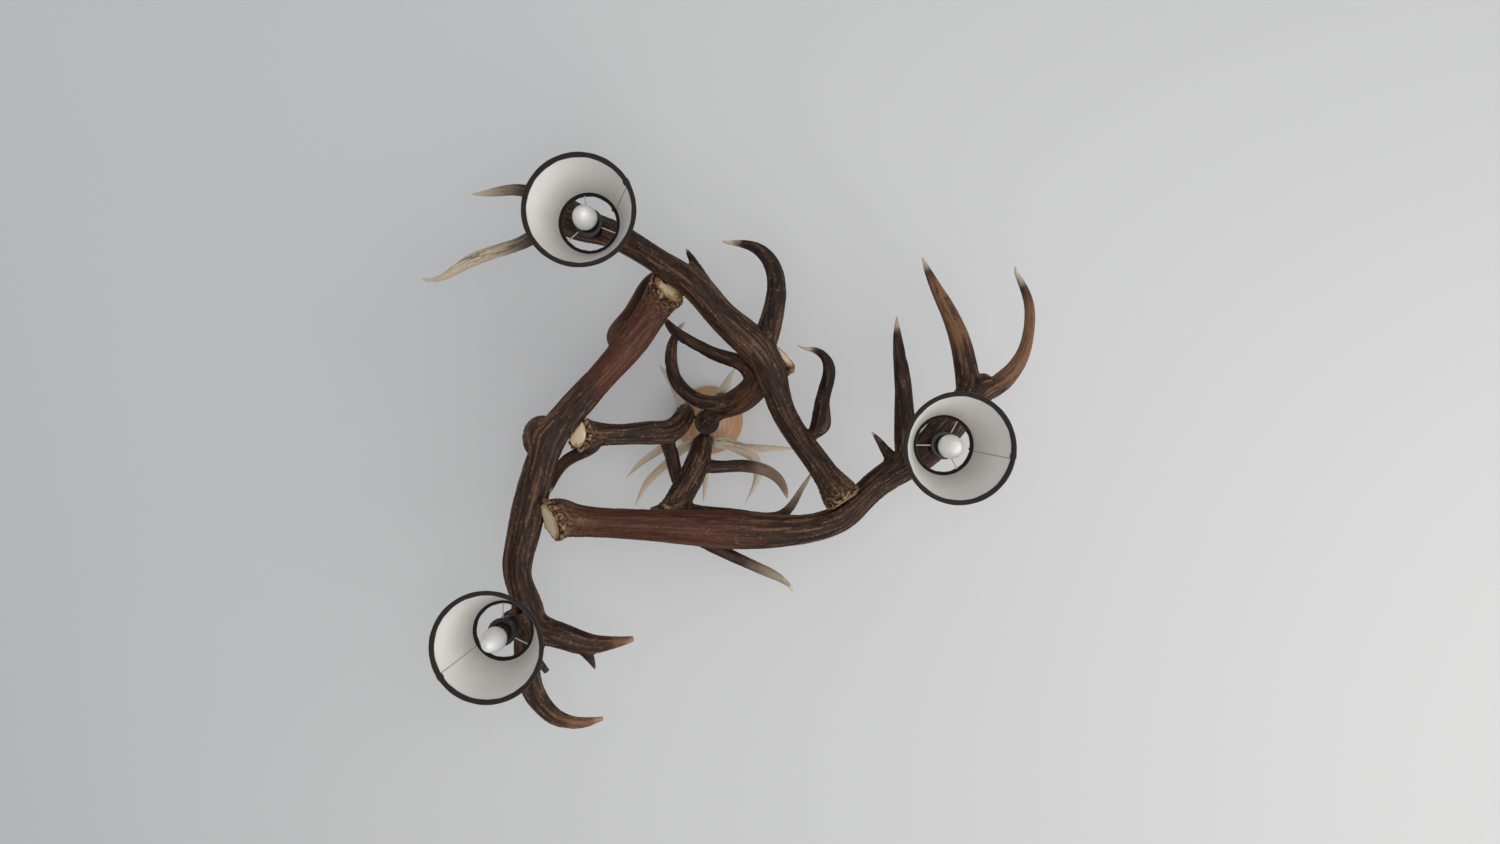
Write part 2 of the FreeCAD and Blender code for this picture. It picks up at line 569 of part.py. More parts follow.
UPPER_THREE = [
    [(-203, 15, -6, 22), (-200, 15, -1, 26), (-195, 16, 6, 26.5), (-184, 17, 19, 22), (-166, 18, 30, 18.5),
     (-143, 19, 37, 17.5), (-107, 17, 48, 19), (-70, 16, 63, 20), (-45, 3, 82, 19),
     (-36, -12, 106, 18), (-35, -14, 135, 17), (-38, -20, 168, 13)],
    [(-64, 14, 66, 16), (-61, 42, 80, 12.5), (-55, 66, 92, 12), (-50, 92, 99, 10.5),
     (-40, 118, 104, 8), (-28, 138, 106, 2)],
    [(-37, -17, 158, 12), (-45, -36, 182, 11.5), (-54, -56, 192, 10), (-67, -76, 203, 7.5),
     (-79, -91, 212, 4.5), (-88, -100, 220, 1.6)],
    [(-37, -18, 160, 12), (-52, 12, 178, 9.5), (-78, 45, 187, 8), (-109, 67, 196, 6.5),
     (-131, 86, 203, 4), (-145, 101, 208, 1.6)],
    [(-176, 20, 27, 15), (-190, 42, 34, 12.5), (-219, 57, 43, 11), (-247, 89, 49, 9), (-262, 122, 53, 2)],
]

# A dowel runs from the first point, inside an antler's burr end, to the second, inside the beam
# that the burr rests on.
RING_DOWELS = [
    ((195, 87, -17), (217, 142, -8)),
    ((-200, 154, -15), (-276, 150, -7)),
    ((-80, -183, 8), (-58, -236, -6)),
]
UPPER_DOWELS = [
    ((90, -72, 37), (93, -96, -4)),
    ((-46, 134, 43), (-58, 162, 2)),
    ((-180, 17, 20), (-240, 22, -4)),
]


def section_frames(spots):
    """Directions along a limb, and a crosswise direction that doesn't twist from one to the next."""
    last = len(spots) - 1
    frames = []
    across = None
    for index in range(last + 1):
        ahead = spots[min(index + 1, last)] - spots[max(index - 1, 0)]
        ahead.normalize()
        if across is None:
            across = ahead.cross(UP if abs(ahead.z) < 0.9 else ALONG_X)
        across = across - ahead * across.dot(ahead)
        across.normalize()
        frames.append((ahead, FreeCAD.Vector(across)))
    return frames


def limb(points, depth, extra=0.0):
    """One smooth tapering solid through oval sections; extra grows every one of them."""
    spots = [FreeCAD.Vector(x, y, height) for x, y, height, radius in points]
    wires = []
    for spot, (ahead, across), point in zip(spots, section_frames(spots), points):
        side = ahead.cross(across)
        width = point[3] + extra
        thickness = point[3] * depth + extra
        if depth > 1:
            outline = Part.Ellipse(ORIGIN, thickness, width)
            turn = FreeCAD.Rotation(side, -across, ahead, "ZXY")
        else:
            outline = Part.Ellipse(ORIGIN, width, thickness)
            turn = FreeCAD.Rotation(across, side, ahead, "ZXY")
        ring = outline.toShape()
        ring.Placement = FreeCAD.Placement(spot, turn)
        wires.append(Part.Wire([ring]))
    return Part.makeLoft(wires, True, False)


def bar_between(start, end, radius, extra=0.0):
    """A round bar from one point to another, lengthened by extra at both ends."""
    first = FreeCAD.Vector(*start)
    along = FreeCAD.Vector(*end) - first
    length = along.Length
    along.normalize()
    return Part.makeCylinder(radius, length + extra * 2, first - along * extra, along)


def lamp_hole(lamp):
    """Tool for a lamp's flat seat and the hole for its nipple, leaning as the lamp does."""
    seat = -size("lamp_seat_drop")
    bore = size("nipple_radius") + size("thread_gap")
    hole = Part.makeCylinder(bore, size("nipple_rise") + 1, ORIGIN)
    below = size("below_antler")
    flat = size("holder_cap_radius") + size("lamp_seat_margin")
    face = Part.makeCylinder(flat, below, FreeCAD.Vector(0, 0, -below))
    tool = hole.fuse(face)
    lamp_x, lamp_y = LAMPS[lamp]
    tool.Placement = FreeCAD.Placement(FreeCAD.Vector(lamp_x, lamp_y, seat), lean_rotation(lamp))
    return tool


def cable_hole():
    """Tool for the open cable hole beside the third lamp, drilled up from below."""
    lamp_x, lamp_y = LAMPS["three"]
    below = size("below_antler")
    aside = size("holder_cap_radius") + size("antler_hole_radius") + size("antler_hole_gap")
    heading = math.radians(size("antler_hole_heading"))
    foot = FreeCAD.Vector(lamp_x + aside * math.cos(heading), lamp_y + aside * math.sin(heading), -below)
    return Part.makeCylinder(size("antler_hole_radius"), below, foot)


def lean_rotation(lamp):
    """Turn that tips a lamp's lower end towards the lean heading."""
    heading = math.radians(size("lean_heading"))
    axis = FreeCAD.Vector(math.sin(heading), -math.cos(heading), 0)
    return FreeCAD.Rotation(axis, size("lamp_%s_lean" % lamp))


def hub_screw_hole(heading, level):
    """Tool for a hub screw's hole and the flat under its head, above the antler ring."""
    radians = math.radians(heading)
    out = FreeCAD.Vector(math.cos(radians), math.sin(radians), 0)
    foot = FreeCAD.Vector(0, 0, level)
    reach = size("hub_screw_reach")
    hole = Part.makeCylinder(size("hub_screw_radius") + size("thread_gap"), reach + 1, foot, out)
    flat_radius = size("hub_screw_head") + size("hub_screw_flat")
    flat = Part.makeCylinder(flat_radius, size("hub_screw_sink"), foot + out * reach, out)
    return hole.fuse(flat)


def make_antler(label, limbs, depth, tools):
    """One whole antler with its joints cut; heights count from the antler ring."""
    shape = limb(limbs[0], depth)
    for points in limbs[1:]:
        shape = shape.fuse(limb(points, depth))
    for tool in tools:
        shape = shape.cut(tool)
    if shape.ShapeType != "Solid":
        solids = sorted(shape.Solids, key=lambda solid: solid.Volume)
        shape = solids[-1]
    antler = doc.addObject("Part::Feature", label)
    antler.Shape = shape
    antler.Placement = FreeCAD.Placement(FreeCAD.Vector(0, 0, -size("ring_drop")), FreeCAD.Rotation())
    name_node(antler, label)


def make_antlers():
    """Cut each burr end to sit against the beam that carries it, then drill for dowels and lamps."""
    gap = size("clearance")
    hole = size("dowel_radius") + size("thread_gap")
    play = size("dowel_play")
    ring_holes = [bar_between(start, end, hole, play) for start, end in RING_DOWELS]
    upper_holes = [bar_between(start, end, hole, play) for start, end in UPPER_DOWELS]
    lower_one = size("lower_one_depth")
    lower_two = size("lower_two_depth")
    lower_three = size("lower_three_depth")
    beam_one = limb(LOWER_ONE[0], lower_one, gap)
    hook_tine = limb(LOWER_ONE[3], lower_one, gap)
    beam_two = limb(LOWER_TWO[0], lower_two, gap)
    beam_three = limb(LOWER_THREE[0], lower_three, gap)
    hub_foot = FreeCAD.Vector(0, 0, size("hub_rise") - gap)
    hub_room = Part.makeCylinder(size("hub_radius") + gap, size("hub_height") + gap * 2, hub_foot)
    screw_holes = [hub_screw_hole(heading, level) for heading, level in HUB_SCREWS]
    make_antler("lower_antler_1", LOWER_ONE, lower_one,
                [beam_two, ring_holes[0], ring_holes[2], upper_holes[0], lamp_hole("one")])
    make_antler("lower_antler_2", LOWER_TWO, lower_two,
                [beam_three, ring_holes[0], ring_holes[1], upper_holes[1], lamp_hole("two")])
    make_antler("lower_antler_3", LOWER_THREE, lower_three,
                [beam_one, ring_holes[1], ring_holes[2], upper_holes[2], lamp_hole("three"), cable_hole()])
    make_antler("upper_antler_1", UPPER_ONE, size("upper_one_depth"),
                [beam_one, hook_tine, upper_holes[0], hub_room, screw_holes[0]])
    make_antler("upper_antler_2", UPPER_TWO, size("upper_two_depth"),
                [beam_two, upper_holes[1], hub_room, screw_holes[1]])
    make_antler("upper_antler_3", UPPER_THREE, size("upper_three_depth"),
                [beam_three, upper_holes[2], hub_room, screw_holes[2]])


def make_dowels():
    """The steel dowels of the ring joints and of the small antlers' feet."""
    for label, dowels in (("ring_dowels", RING_DOWELS), ("upper_dowels", UPPER_DOWELS)):
        bars = [bar_between(start, end, size("dowel_radius")) for start, end in dowels]
        node = doc.addObject("Part::Feature", label)
        node.Shape = Part.makeCompound(bars)
        node.Placement = FreeCAD.Placement(FreeCAD.Vector(0, 0, -size("ring_drop")), FreeCAD.Rotation())
        name_node(node, label)


# ---------------------------------------------------------------- lamps

# Heading in degrees of the first of each shade's three spokes.
SPOKE_START = {"one": -100, "two": 180, "three": -90}
NUMBER = {"one": 1, "two": 2, "three": 3}


def seat_lamp_piece(piece, lamp, label):
    """Put a piece, made with its seat on the antler at zero, in its lamp's place."""
    piece.Placement = FreeCAD.Placement(ORIGIN, lean_rotation(lamp))
    place(piece, "lamp_%s_x" % lamp, "lamp_%s_y" % lamp, "-ring_drop - lamp_seat_drop")
    name_node(piece, "%s_%d" % (label, NUMBER[lamp]))


def lean_gap(lamp):
    """Gap each side of the clamped ring, with room for a leaning holder's flange."""
    return "(clearance + tan(lamp_%s_lean * 1 deg) * flange_radius)" % lamp


def seat_shade_piece(piece, lamp, label):
    """Put a piece, made about the clamped ring's middle, level on its lamp's holder."""
    down = "(flange_level + flange_thickness + %s + spider_thickness / 2)" % lean_gap(lamp)
    lean = "lamp_%s_lean * 1 deg" % lamp
    aside = "sin(%s) * %s" % (lean, down)
    heading = "lean_heading * 1 deg"
    place(piece, "lamp_%s_x + %s * cos(%s)" % (lamp, aside, heading),
          "lamp_%s_y + %s * sin(%s)" % (lamp, aside, heading),
          "-ring_drop - lamp_seat_drop - cos(%s) * %s" % (lean, down))
    name_node(piece, "%s_%d" % (label, NUMBER[lamp]))


def make_nipple(lamp):
    """Threaded tube from the antler into the holder cap, for the cable to pass."""
    tube = cylinder("nipple_radius", "nipple_rise + nipple_drop", z="-nipple_drop")
    bore = cylinder("nipple_bore", "nipple_rise * 2 + nipple_drop * 2", z="-nipple_drop * 2")
    seat_lamp_piece(cut(tube, bore), lamp, "lamp_nipple")


def make_nipple_nut(lamp):
    """Hexagon nut that clamps the holder cap to the antler."""
    foot = "-holder_wall * 2 - nipple_nut_height"
    blank = hexagon("nipple_nut_radius", "nipple_nut_height", z=foot)
    bore = cylinder("nipple_radius + thread_gap", "nipple_nut_height * 3", z=foot + " - nipple_nut_height")
    seat_lamp_piece(cut(blank, bore), lamp, "nipple_nut")


def make_holder_cap(lamp):
    """Domed black cap over the holder's terminals."""
    bore = "nipple_radius + thread_gap"
    corners = [
        (bore, "0"),
        ("holder_cap_radius * 0.62", "0"),
        ("holder_cap_radius * 0.9", "-holder_cap_height * 0.18"),
        ("holder_cap_radius", "-holder_cap_height * 0.4"),
        ("holder_cap_radius", "-holder_cap_height"),
        ("holder_cap_radius - holder_wall", "-holder_cap_height"),
        ("holder_cap_radius - holder_wall", "-holder_wall * 2"),
        (bore, "-holder_wall * 2"),
    ]
    seat_lamp_piece(turned(corners), lamp, "holder_cap")


def make_holder_body(lamp):
    """Black lampholder: a skirt that enters the cap, a flange for the shade and a threaded nose."""
    skirt = "holder_cap_radius - holder_wall - thread_gap"
    top = "-nipple_drop - 1"
    web = "0 - holder_web"
    corners = [
        ("nipple_bore", top),
        (skirt, top),
        (skirt, "0 - holder_cap_height - thread_gap"),
        ("holder_radius", "0 - holder_cap_height - thread_gap"),
        ("holder_radius", "0 - flange_level"),
        ("flange_radius", "0 - flange_level"),
        ("flange_radius", "0 - flange_level - flange_thickness"),
        ("holder_radius", "0 - flange_level - flange_thickness"),
        ("holder_radius", "0 - holder_length"),
        ("holder_bore", "0 - holder_length"),
        ("holder_bore", web),
        ("nipple_bore", web),
    ]
    seat_lamp_piece(turned(corners), lamp, "holder_body")


def make_holder_contact(lamp):
    """Brass contact inside the holder: a disc under the web with a tongue to the cap's button."""
    disc_top = "0 - holder_web - thread_gap"
    tongue_end = "0 - holder_length + bulb_cap_length + bulb_tip_length + clearance"
    corners = [
        ("0", disc_top),
        ("contact_radius", disc_top),
        ("contact_radius", disc_top + " - contact_thickness"),
        ("contact_radius * 0.4", disc_top + " - contact_thickness"),
        ("contact_radius * 0.4", tongue_end),
        ("0", tongue_end),
    ]
    seat_lamp_piece(turned(corners), lamp, "holder_contact")


def make_shade_ring(lamp):
    """Grooved black ring that screws up under the shade's spider."""
    top = "(0 - flange_level - flange_thickness - %s * 2 - spider_thickness)" % lean_gap(lamp)
    bore = "holder_radius + clearance"
    corners = [
        (bore, top),
        ("ring_radius * 0.94", top),
        ("ring_radius", top + " - ring_height * 0.2"),
        ("ring_radius", top + " - ring_height * 0.8"),
        ("ring_radius * 0.94", top + " - ring_height"),
        (bore, top + " - ring_height"),
    ]
    seat_lamp_piece(turned(corners), lamp, "shade_ring")


def make_bulb_cap(lamp):
    """Threaded metal cap of the bulb, with its contact button."""
    mouth = "0 - holder_length"
    top = mouth + " + bulb_cap_length"
    corners = [
        ("0", mouth),
        ("bulb_cap_radius", mouth),
        ("bulb_cap_radius", top + " - bulb_tip_length"),
        ("bulb_tip_radius", top),
        ("bulb_tip_radius", top + " + bulb_tip_length"),
        ("0", top + " + bulb_tip_length"),
    ]
    seat_lamp_piece(turned(corners), lamp, "bulb_cap")


def bulb_outline(radius, length, neck):
    """Half outline of a candle bulb, from its neck at the holder's mouth down to the tip."""
    mouth = -size("holder_length") - size("thread_gap")
    shares = [(0.62, 0.11), (0.93, 0.3), (1, 0.46), (0.86, 0.68), (0.5, 0.9), (0, 1)]
    spots = [FreeCAD.Vector(neck, 0, mouth)]
    for width, drop in shares:
        spots.append(FreeCAD.Vector(radius * width, 0, mouth - length * drop))
    curve = Part.BSplineCurve()
    curve.interpolate(spots)
    return curve.toShape()


def make_bulb_glass(lamp):
    """Blown opal glass, open at the neck where the cap closes it."""
    wall = size("glass_wall")
    neck = size("bulb_cap_radius")
    outside = bulb_outline(size("bulb_radius"), size("bulb_length"), neck)
    inside = bulb_outline(size("bulb_radius") - wall, size("bulb_length") - wall, neck - wall)
    rim = Part.makeLine(inside.Vertexes[0].Point, outside.Vertexes[0].Point)
    axis = Part.makeLine(outside.Vertexes[-1].Point, inside.Vertexes[-1].Point)
    outline = Part.Wire(Part.__sortEdges__([rim, outside, axis, inside]))
    glass = doc.addObject("Part::Feature", "glass")
    glass.Shape = Part.Face(outline).revolve(ORIGIN, UP, 360)
    seat_lamp_piece(glass, lamp, "bulb_glass")


def shade_radius(height):
    """Outside radius of the shade, at a formula's height above the clamped ring."""
    slope = "(shade_bottom_radius - shade_top_radius) / shade_height"
    return "(shade_top_radius + (shade_recess - (%s)) * %s)" % (height, slope)


RIM_TOP = "shade_recess"
RIM_FOOT = "(shade_recess - shade_height)"


def make_shade_cover(lamp):
    """Tapered drum of fabric on a stiff white lining, between the two rolled edges."""
    top = RIM_TOP + " - hem_height - thread_gap"
    foot = RIM_FOOT + " + hem_height + thread_gap"
    corners = [
        (shade_radius(top), top),
        (shade_radius(top) + " - shade_wall", top),
        (shade_radius(foot) + " - shade_wall", foot),
        (shade_radius(foot), foot),
    ]
    seat_shade_piece(turned(corners), lamp, "shade_cover")


def hem(lamp, foot, top, label):
    """Rolled dark edge, folded round its wire and open towards the inside."""
    proud = "(hem_width - shade_wall) / 2"
    middle = "((%s) + (%s)) / 2" % (foot, top)
    slot_back = shade_radius(middle) + " + %s - hem_width / 2 + frame_wire + thread_gap" % proud
    inside = " + %s - hem_width" % proud
    corners = [
        (shade_radius(foot) + inside, foot),
        (shade_radius(foot) + " + " + proud, foot),
        (shade_radius(top) + " + " + proud, top),
        (shade_radius(top) + inside, top),
        (shade_radius(middle) + inside, middle + " + hem_slot / 2"),
        (slot_back, middle + " + hem_slot / 2"),
        (slot_back, middle + " - hem_slot / 2"),
        (shade_radius(middle) + inside, middle + " - hem_slot / 2"),
    ]
    seat_shade_piece(turned(corners), lamp, label)


def wire_bend(middle):
    """Radius of the wire hoop that lies in a hem, at the hem's middle height."""
    return shade_radius(middle) + " + (hem_width - shade_wall) / 2 - hem_width / 2"


def make_bottom_wire(lamp):
    middle = RIM_FOOT + " + hem_height / 2"
    hoop = torus(wire_bend(middle), "frame_wire", z=middle)
    seat_shade_piece(group(hoop), lamp, "shade_bottom_wire")


def make_spider(lamp):
    """Top hoop, clamped ring and the three spokes between them, brazed into one."""
    middle = RIM_TOP + " - hem_height / 2"
    bend = wire_bend(middle)
    pieces = [torus(bend, "frame_wire", z=middle)]
    plate = cylinder("spider_radius", "spider_thickness", z="-spider_thickness / 2")
    pieces.append(plate)
    rise = evaluate(middle)
    inner = size("spider_radius") - 1
    outer = evaluate(bend)
    tilt = math.degrees(math.atan2(outer - inner, rise))
    for step in range(3):
        heading = SPOKE_START[lamp] + step * 120
        turn = FreeCAD.Rotation(UP, heading).multiply(FreeCAD.Rotation(ALONG_Y, tilt))
        cosine = "(%.6f)" % math.cos(math.radians(heading))
        sine = "(%.6f)" % math.sin(math.radians(heading))
        start = "(spider_radius - 1) * "
        length = "sqrt((%s - spider_radius + 1)^2 + (%s)^2)" % (bend, middle)
        spoke = cylinder("frame_wire * 0.9", length, x=start + cosine, y=start + sine)
        spoke.Placement.Rotation = turn
        pieces.append(spoke)
    bore = cylinder("holder_radius + spider_gap", "spider_thickness * 4", z="-spider_thickness * 2")
    seat_shade_piece(cut(join(*pieces), bore), lamp, "shade_spider")


def make_lamp(lamp):
    """Every piece of one lamp, from the antler down."""
    make_nipple(lamp)
    make_nipple_nut(lamp)
    make_holder_cap(lamp)
    make_holder_body(lamp)
    make_holder_contact(lamp)
    make_shade_ring(lamp)
    make_bulb_cap(lamp)
    make_bulb_glass(lamp)
    make_spider(lamp)
    make_bottom_wire(lamp)
    make_shade_cover(lamp)
    hem(lamp, RIM_TOP + " - hem_height", RIM_TOP, "shade_top_hem")
    hem(lamp, RIM_FOOT, RIM_FOOT + " + hem_height", "shade_bottom_hem")


# ---------------------------------------------------------------- build, check and write

def check(piece):
    """Stop if a sub-part failed to build or isn't made of valid closed solids."""
    label = piece.Label
    if "Invalid" in piece.State or "Error" in piece.State:
        raise RuntimeError(label + " failed to build")
    shape = piece.Shape
    if shape.isNull() or not shape.isValid():
        raise RuntimeError(label + " has no valid shape")
    if not shape.Solids or shape.Volume <= 0:
        raise RuntimeError(label + " has no solid")


def main():
    make_bracket()
    make_terminal_block()
    make_canopy()
    make_canopy_collar()
    make_hook()
    make_link()
    make_eye()
    make_centre_rod()
    make_hub()
    make_rod_nuts()
    make_hub_screws()
    make_antlers()
    make_dowels()
    for lamp in NUMBER:
        make_lamp(lamp)
    doc.recompute()
    for piece in doc.Objects:
        if "Invalid" in piece.State or "Error" in piece.State:
            raise RuntimeError(piece.Name + " (" + piece.Label + ") failed to build")
    for piece in nodes:
        check(piece)
    os.makedirs("parts", exist_ok=True)
    for piece in nodes:
        piece.Shape.exportStep(os.path.join("parts", piece.Label + ".step"))
    print("%d sub-parts written" % len(nodes))


main()
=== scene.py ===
"""Looks of the antler chandelier, which hangs from a ceiling and is seen from below.  Metres, +Z up.

Lengths are in millimetres, as a maker would measure them, and MM turns them to metres, but for
those whose comment says m.
"""
import bpy
import bmesh
import itertools
import json
import math
import numpy as np
from mathutils import Matrix, Vector
from mathutils.bvhtree import BVHTree
from mathutils.kdtree import KDTree


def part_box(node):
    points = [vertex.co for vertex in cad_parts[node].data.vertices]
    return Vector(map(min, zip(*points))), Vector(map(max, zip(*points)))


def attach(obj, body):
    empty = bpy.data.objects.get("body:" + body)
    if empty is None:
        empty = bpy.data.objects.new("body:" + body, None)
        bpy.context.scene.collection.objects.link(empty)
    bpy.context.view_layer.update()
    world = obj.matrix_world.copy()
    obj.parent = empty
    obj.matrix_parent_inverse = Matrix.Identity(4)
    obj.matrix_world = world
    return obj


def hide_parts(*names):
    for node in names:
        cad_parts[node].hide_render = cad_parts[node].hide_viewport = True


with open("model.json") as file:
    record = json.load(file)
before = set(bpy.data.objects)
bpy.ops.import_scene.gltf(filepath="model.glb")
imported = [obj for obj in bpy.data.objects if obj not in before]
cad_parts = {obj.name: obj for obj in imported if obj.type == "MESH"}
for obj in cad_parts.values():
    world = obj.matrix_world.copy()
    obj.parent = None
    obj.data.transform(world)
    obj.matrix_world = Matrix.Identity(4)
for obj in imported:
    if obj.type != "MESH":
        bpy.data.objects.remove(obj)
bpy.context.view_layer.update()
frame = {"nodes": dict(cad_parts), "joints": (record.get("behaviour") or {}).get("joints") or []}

MM = 0.001
UP = Vector((0, 0, 1))
JOINTS = {joint["name"]: joint for joint in frame["joints"]}
LAMPS = (1, 2, 3)


# ------------------------ camera, light and stage

PHOTO_WIDTH = 1500                  # px
FOCAL_LENGTH = 1100                 # px
SENSOR_WIDTH = 36                   # mm
CAMERA_SPOT = Vector((0.034, -0.034, -2.080))  # m
OFF_PLUMB = (23, 20)                # px, from the point straight above to the picture's middle
CAMERA_AIM = Vector((*OFF_PLUMB, FOCAL_LENGTH)).normalized()


def make_camera():
    """The photograph's view: straight up from below, a little off plumb."""
    lens = bpy.data.cameras.new("camera")
    lens.sensor_width = SENSOR_WIDTH
    lens.lens = FOCAL_LENGTH * SENSOR_WIDTH / PHOTO_WIDTH
    lens.clip_start = 0.01
    camera = bpy.data.objects.new("camera", lens)
    bpy.context.scene.collection.objects.link(camera)
    right = (Vector((1, 0, 0)) - CAMERA_AIM * CAMERA_AIM.x).normalized()
    down = CAMERA_AIM.cross(right)
    turn = Matrix((right, -down, -CAMERA_AIM)).transposed()
    camera.matrix_world = Matrix.Translation(CAMERA_SPOT) @ turn.to_4x4()
    bpy.context.scene.camera = camera


def make_lamp_panel(name, spot, aim, side, watts, colour):
    """A soft studio panel that faces a point."""
    panel = bpy.data.lights.new(name, "AREA")
    panel.shape = "SQUARE"
    panel.size = side
    panel.energy = watts
    panel.color = linear(colour)[:3]
    holder = bpy.data.objects.new(name, panel)
    bpy.context.scene.collection.objects.link(holder)
    holder.location = spot
    holder.rotation_euler = (Vector(aim) - Vector(spot)).to_track_quat("-Z", "Y").to_euler()
    holder.visible_camera = False


ROOM_LIGHT = 0.46                   # strength of the world's light


def make_stage():
    """A pale ceiling that shows only from below, soft light from below and beside, and a world that
    lights by one tone and is seen, straight or in gloss, as another."""
    make_ceiling()
    middle = (0, 0, -0.33)          # m, as the panels' places and sizes are
    make_lamp_panel("floor_panel", (1.8, 0.7, -2.6), (0.3, 0.1, 0), 4.0, 70, "#fffefd")
    make_lamp_panel("window_panel", (2.6, 0.9, -1.7), middle, 1.8, 11, "#fffcf8")
    make_lamp_panel("fill_panel", (-2.2, -1.6, -0.9), middle, 2.0, 8, "#f2f5ff")
    make_lamp_panel("front_panel", (0.03, -0.03, -2.2), middle, 0.6, 5.5, "#ffffff")
    world = bpy.data.worlds.new("room_light")
    bpy.context.scene.world = world
    world.use_nodes = True
    tree = world.node_tree
    tree.nodes.clear()
    path = add(tree, "LightPath").outputs
    seen = maths(tree, "MAXIMUM", path["Is Camera Ray"], path["Is Glossy Ray"])
    seen = maths(tree, "MAXIMUM", seen, path["Is Transmission Ray"])
    light = add(tree, "Background", {"Color": linear("#f4f6fb"), "Strength": ROOM_LIGHT})
    backdrop = add(tree, "Background", {"Color": linear("#d3d3d0"), "Strength": 1.0})
    both = add(tree, "MixShader", links={0: seen, 1: light.outputs[0], 2: backdrop.outputs[0]})
    add(tree, "OutputWorld", links={"Surface": both.outputs[0]})
    bpy.context.scene.view_settings.view_transform = "Standard"


CEILING_HEIGHT = 0.0005             # m, just above the canopy's rim
CEILING_REACH = (0.058, 20.0)       # m, radius of the opening over the canopy and of the whole


def make_ceiling():
    """A wide disc that faces down, open above the canopy so that a view from above sees into that."""
    segments = 64
    angles = [math.tau * step / segments for step in range(segments)]
    verts = [(radius * math.cos(angle), radius * math.sin(angle), CEILING_HEIGHT)
             for radius in CEILING_REACH for angle in angles]
    faces = []
    for step in range(segments):
        following = (step + 1) % segments
        faces.append((step, following, segments + following, segments + step))
    mesh = bpy.data.meshes.new("ceiling")
    mesh.from_pydata(verts, [], faces)
    mesh.materials.append(ceiling_paint())
    made = bpy.data.objects.new("ceiling", mesh)
    bpy.context.scene.collection.objects.link(made)
    return made


# ------------------------ materials

MIX_A, MIX_B, MIX_COLOUR = 6, 7, 2  # the colour sockets of a Mix node


def linear(hex_colour):
    """An sRGB hex colour as linear RGBA."""
    shares = [int(hex_colour[place:place + 2], 16) / 255 for place in (1, 3, 5)]
    return tuple(s / 12.92 if s <= 0.04045 else ((s + 0.055) / 1.055) ** 2.4 for s in shares) + (1.0,)


def add(tree, kind, sockets=None, links=None, **settings):
    """Add one shader node with its settings, the values of its sockets and the links into them."""
    node = tree.nodes.new("ShaderNode" + kind)
    for name, value in settings.items():
        setattr(node, name, value)
    for socket, value in (sockets or {}).items():
        node.inputs[socket].default_value = value
    for socket, source in (links or {}).items():
        tree.links.new(source, node.inputs[socket])
    return node


def mixed(tree, first, second, share):
    """Two colours, each a hex colour or a socket, mixed by the share of the second, a socket."""
    sockets, links = {}, {0: share}
    for place, colour in ((MIX_A, first), (MIX_B, second)):
        if isinstance(colour, str):
            sockets[place] = linear(colour)
        else:
            links[place] = colour
    return add(tree, "Mix", sockets, links, data_type="RGBA").outputs[MIX_COLOUR]


def maths(tree, operation, *inputs):
    """The result of a maths node, whose inputs are numbers or sockets."""
    numbers = {place: value for place, value in enumerate(inputs) if isinstance(value, float)}
    links = {place: value for place, value in enumerate(inputs) if not isinstance(value, float)}
    return add(tree, "Math", numbers, links, operation=operation).outputs[0]


def ranged(tree, value, way, least, most):
    """A value from 0 to 1 spread "To" a range, or one "From" a range brought to 0 to 1."""
    return add(tree, "MapRange", {way + " Min": least, way + " Max": most}, {"Value": value}).outputs[0]


def field(tree, name):
    """A value that the mesh keeps for every vertex."""
    return add(tree, "Attribute", attribute_name=name).outputs["Fac"]


def material(name, same_all_over):
    """A named material and its principled shader, set to the values that are the same all over."""
    made = bpy.data.materials.new(name)
    made.use_nodes = True
    tree = made.node_tree
    shader = tree.nodes["Principled BSDF"]
    for socket, value in same_all_over.items():
        shader.inputs[socket].default_value = value
    return made, tree, shader


def drift(tree, mark, detail, roughness=0.5):
    """Noise over the piece whose marks have a size in mm."""
    spot = add(tree, "TexCoord").outputs["Object"]
    return add(tree, "TexNoise", {"Scale": 1 / (mark * MM), "Detail": detail, "Roughness": roughness},
               {"Vector": spot}).outputs["Fac"]


def colour_by(tree, shader, first, second, share):
    """Colour a shader by a mix of two colours."""
    tree.links.new(mixed(tree, first, second, share), shader.inputs["Base Color"])


def relief(tree, shader, height, strength, depth):
    """Give a shader fine relief, its depth in mm."""
    bump = add(tree, "Bump", {"Strength": strength, "Distance": depth * MM}, {"Height": height})
    tree.links.new(bump.outputs[0], shader.inputs["Normal"])


def ceiling_paint():
    """Matt emulsion on plaster: even, warm-grey white.  Light and sight pass through from behind."""
    made, tree, shader = material("ceiling_emulsion", {
        "Base Color": linear("#cececd"), "Roughness": 0.95, "Specular IOR Level": 0.1})
    side = add(tree, "NewGeometry")
    clear = add(tree, "BsdfTransparent")
    both = add(tree, "MixShader", links={0: side.outputs["Backfacing"], 1: shader.outputs[0],
                                         2: clear.outputs[0]})
    tree.links.new(both.outputs[0], tree.nodes["Material Output"].inputs["Surface"])
    return made


FLECK_GRAIN = 2.2                   # mm, grain of antler between its furrows
STAIN_PATCH = 38                    # mm, drift between darker and lighter bark stain


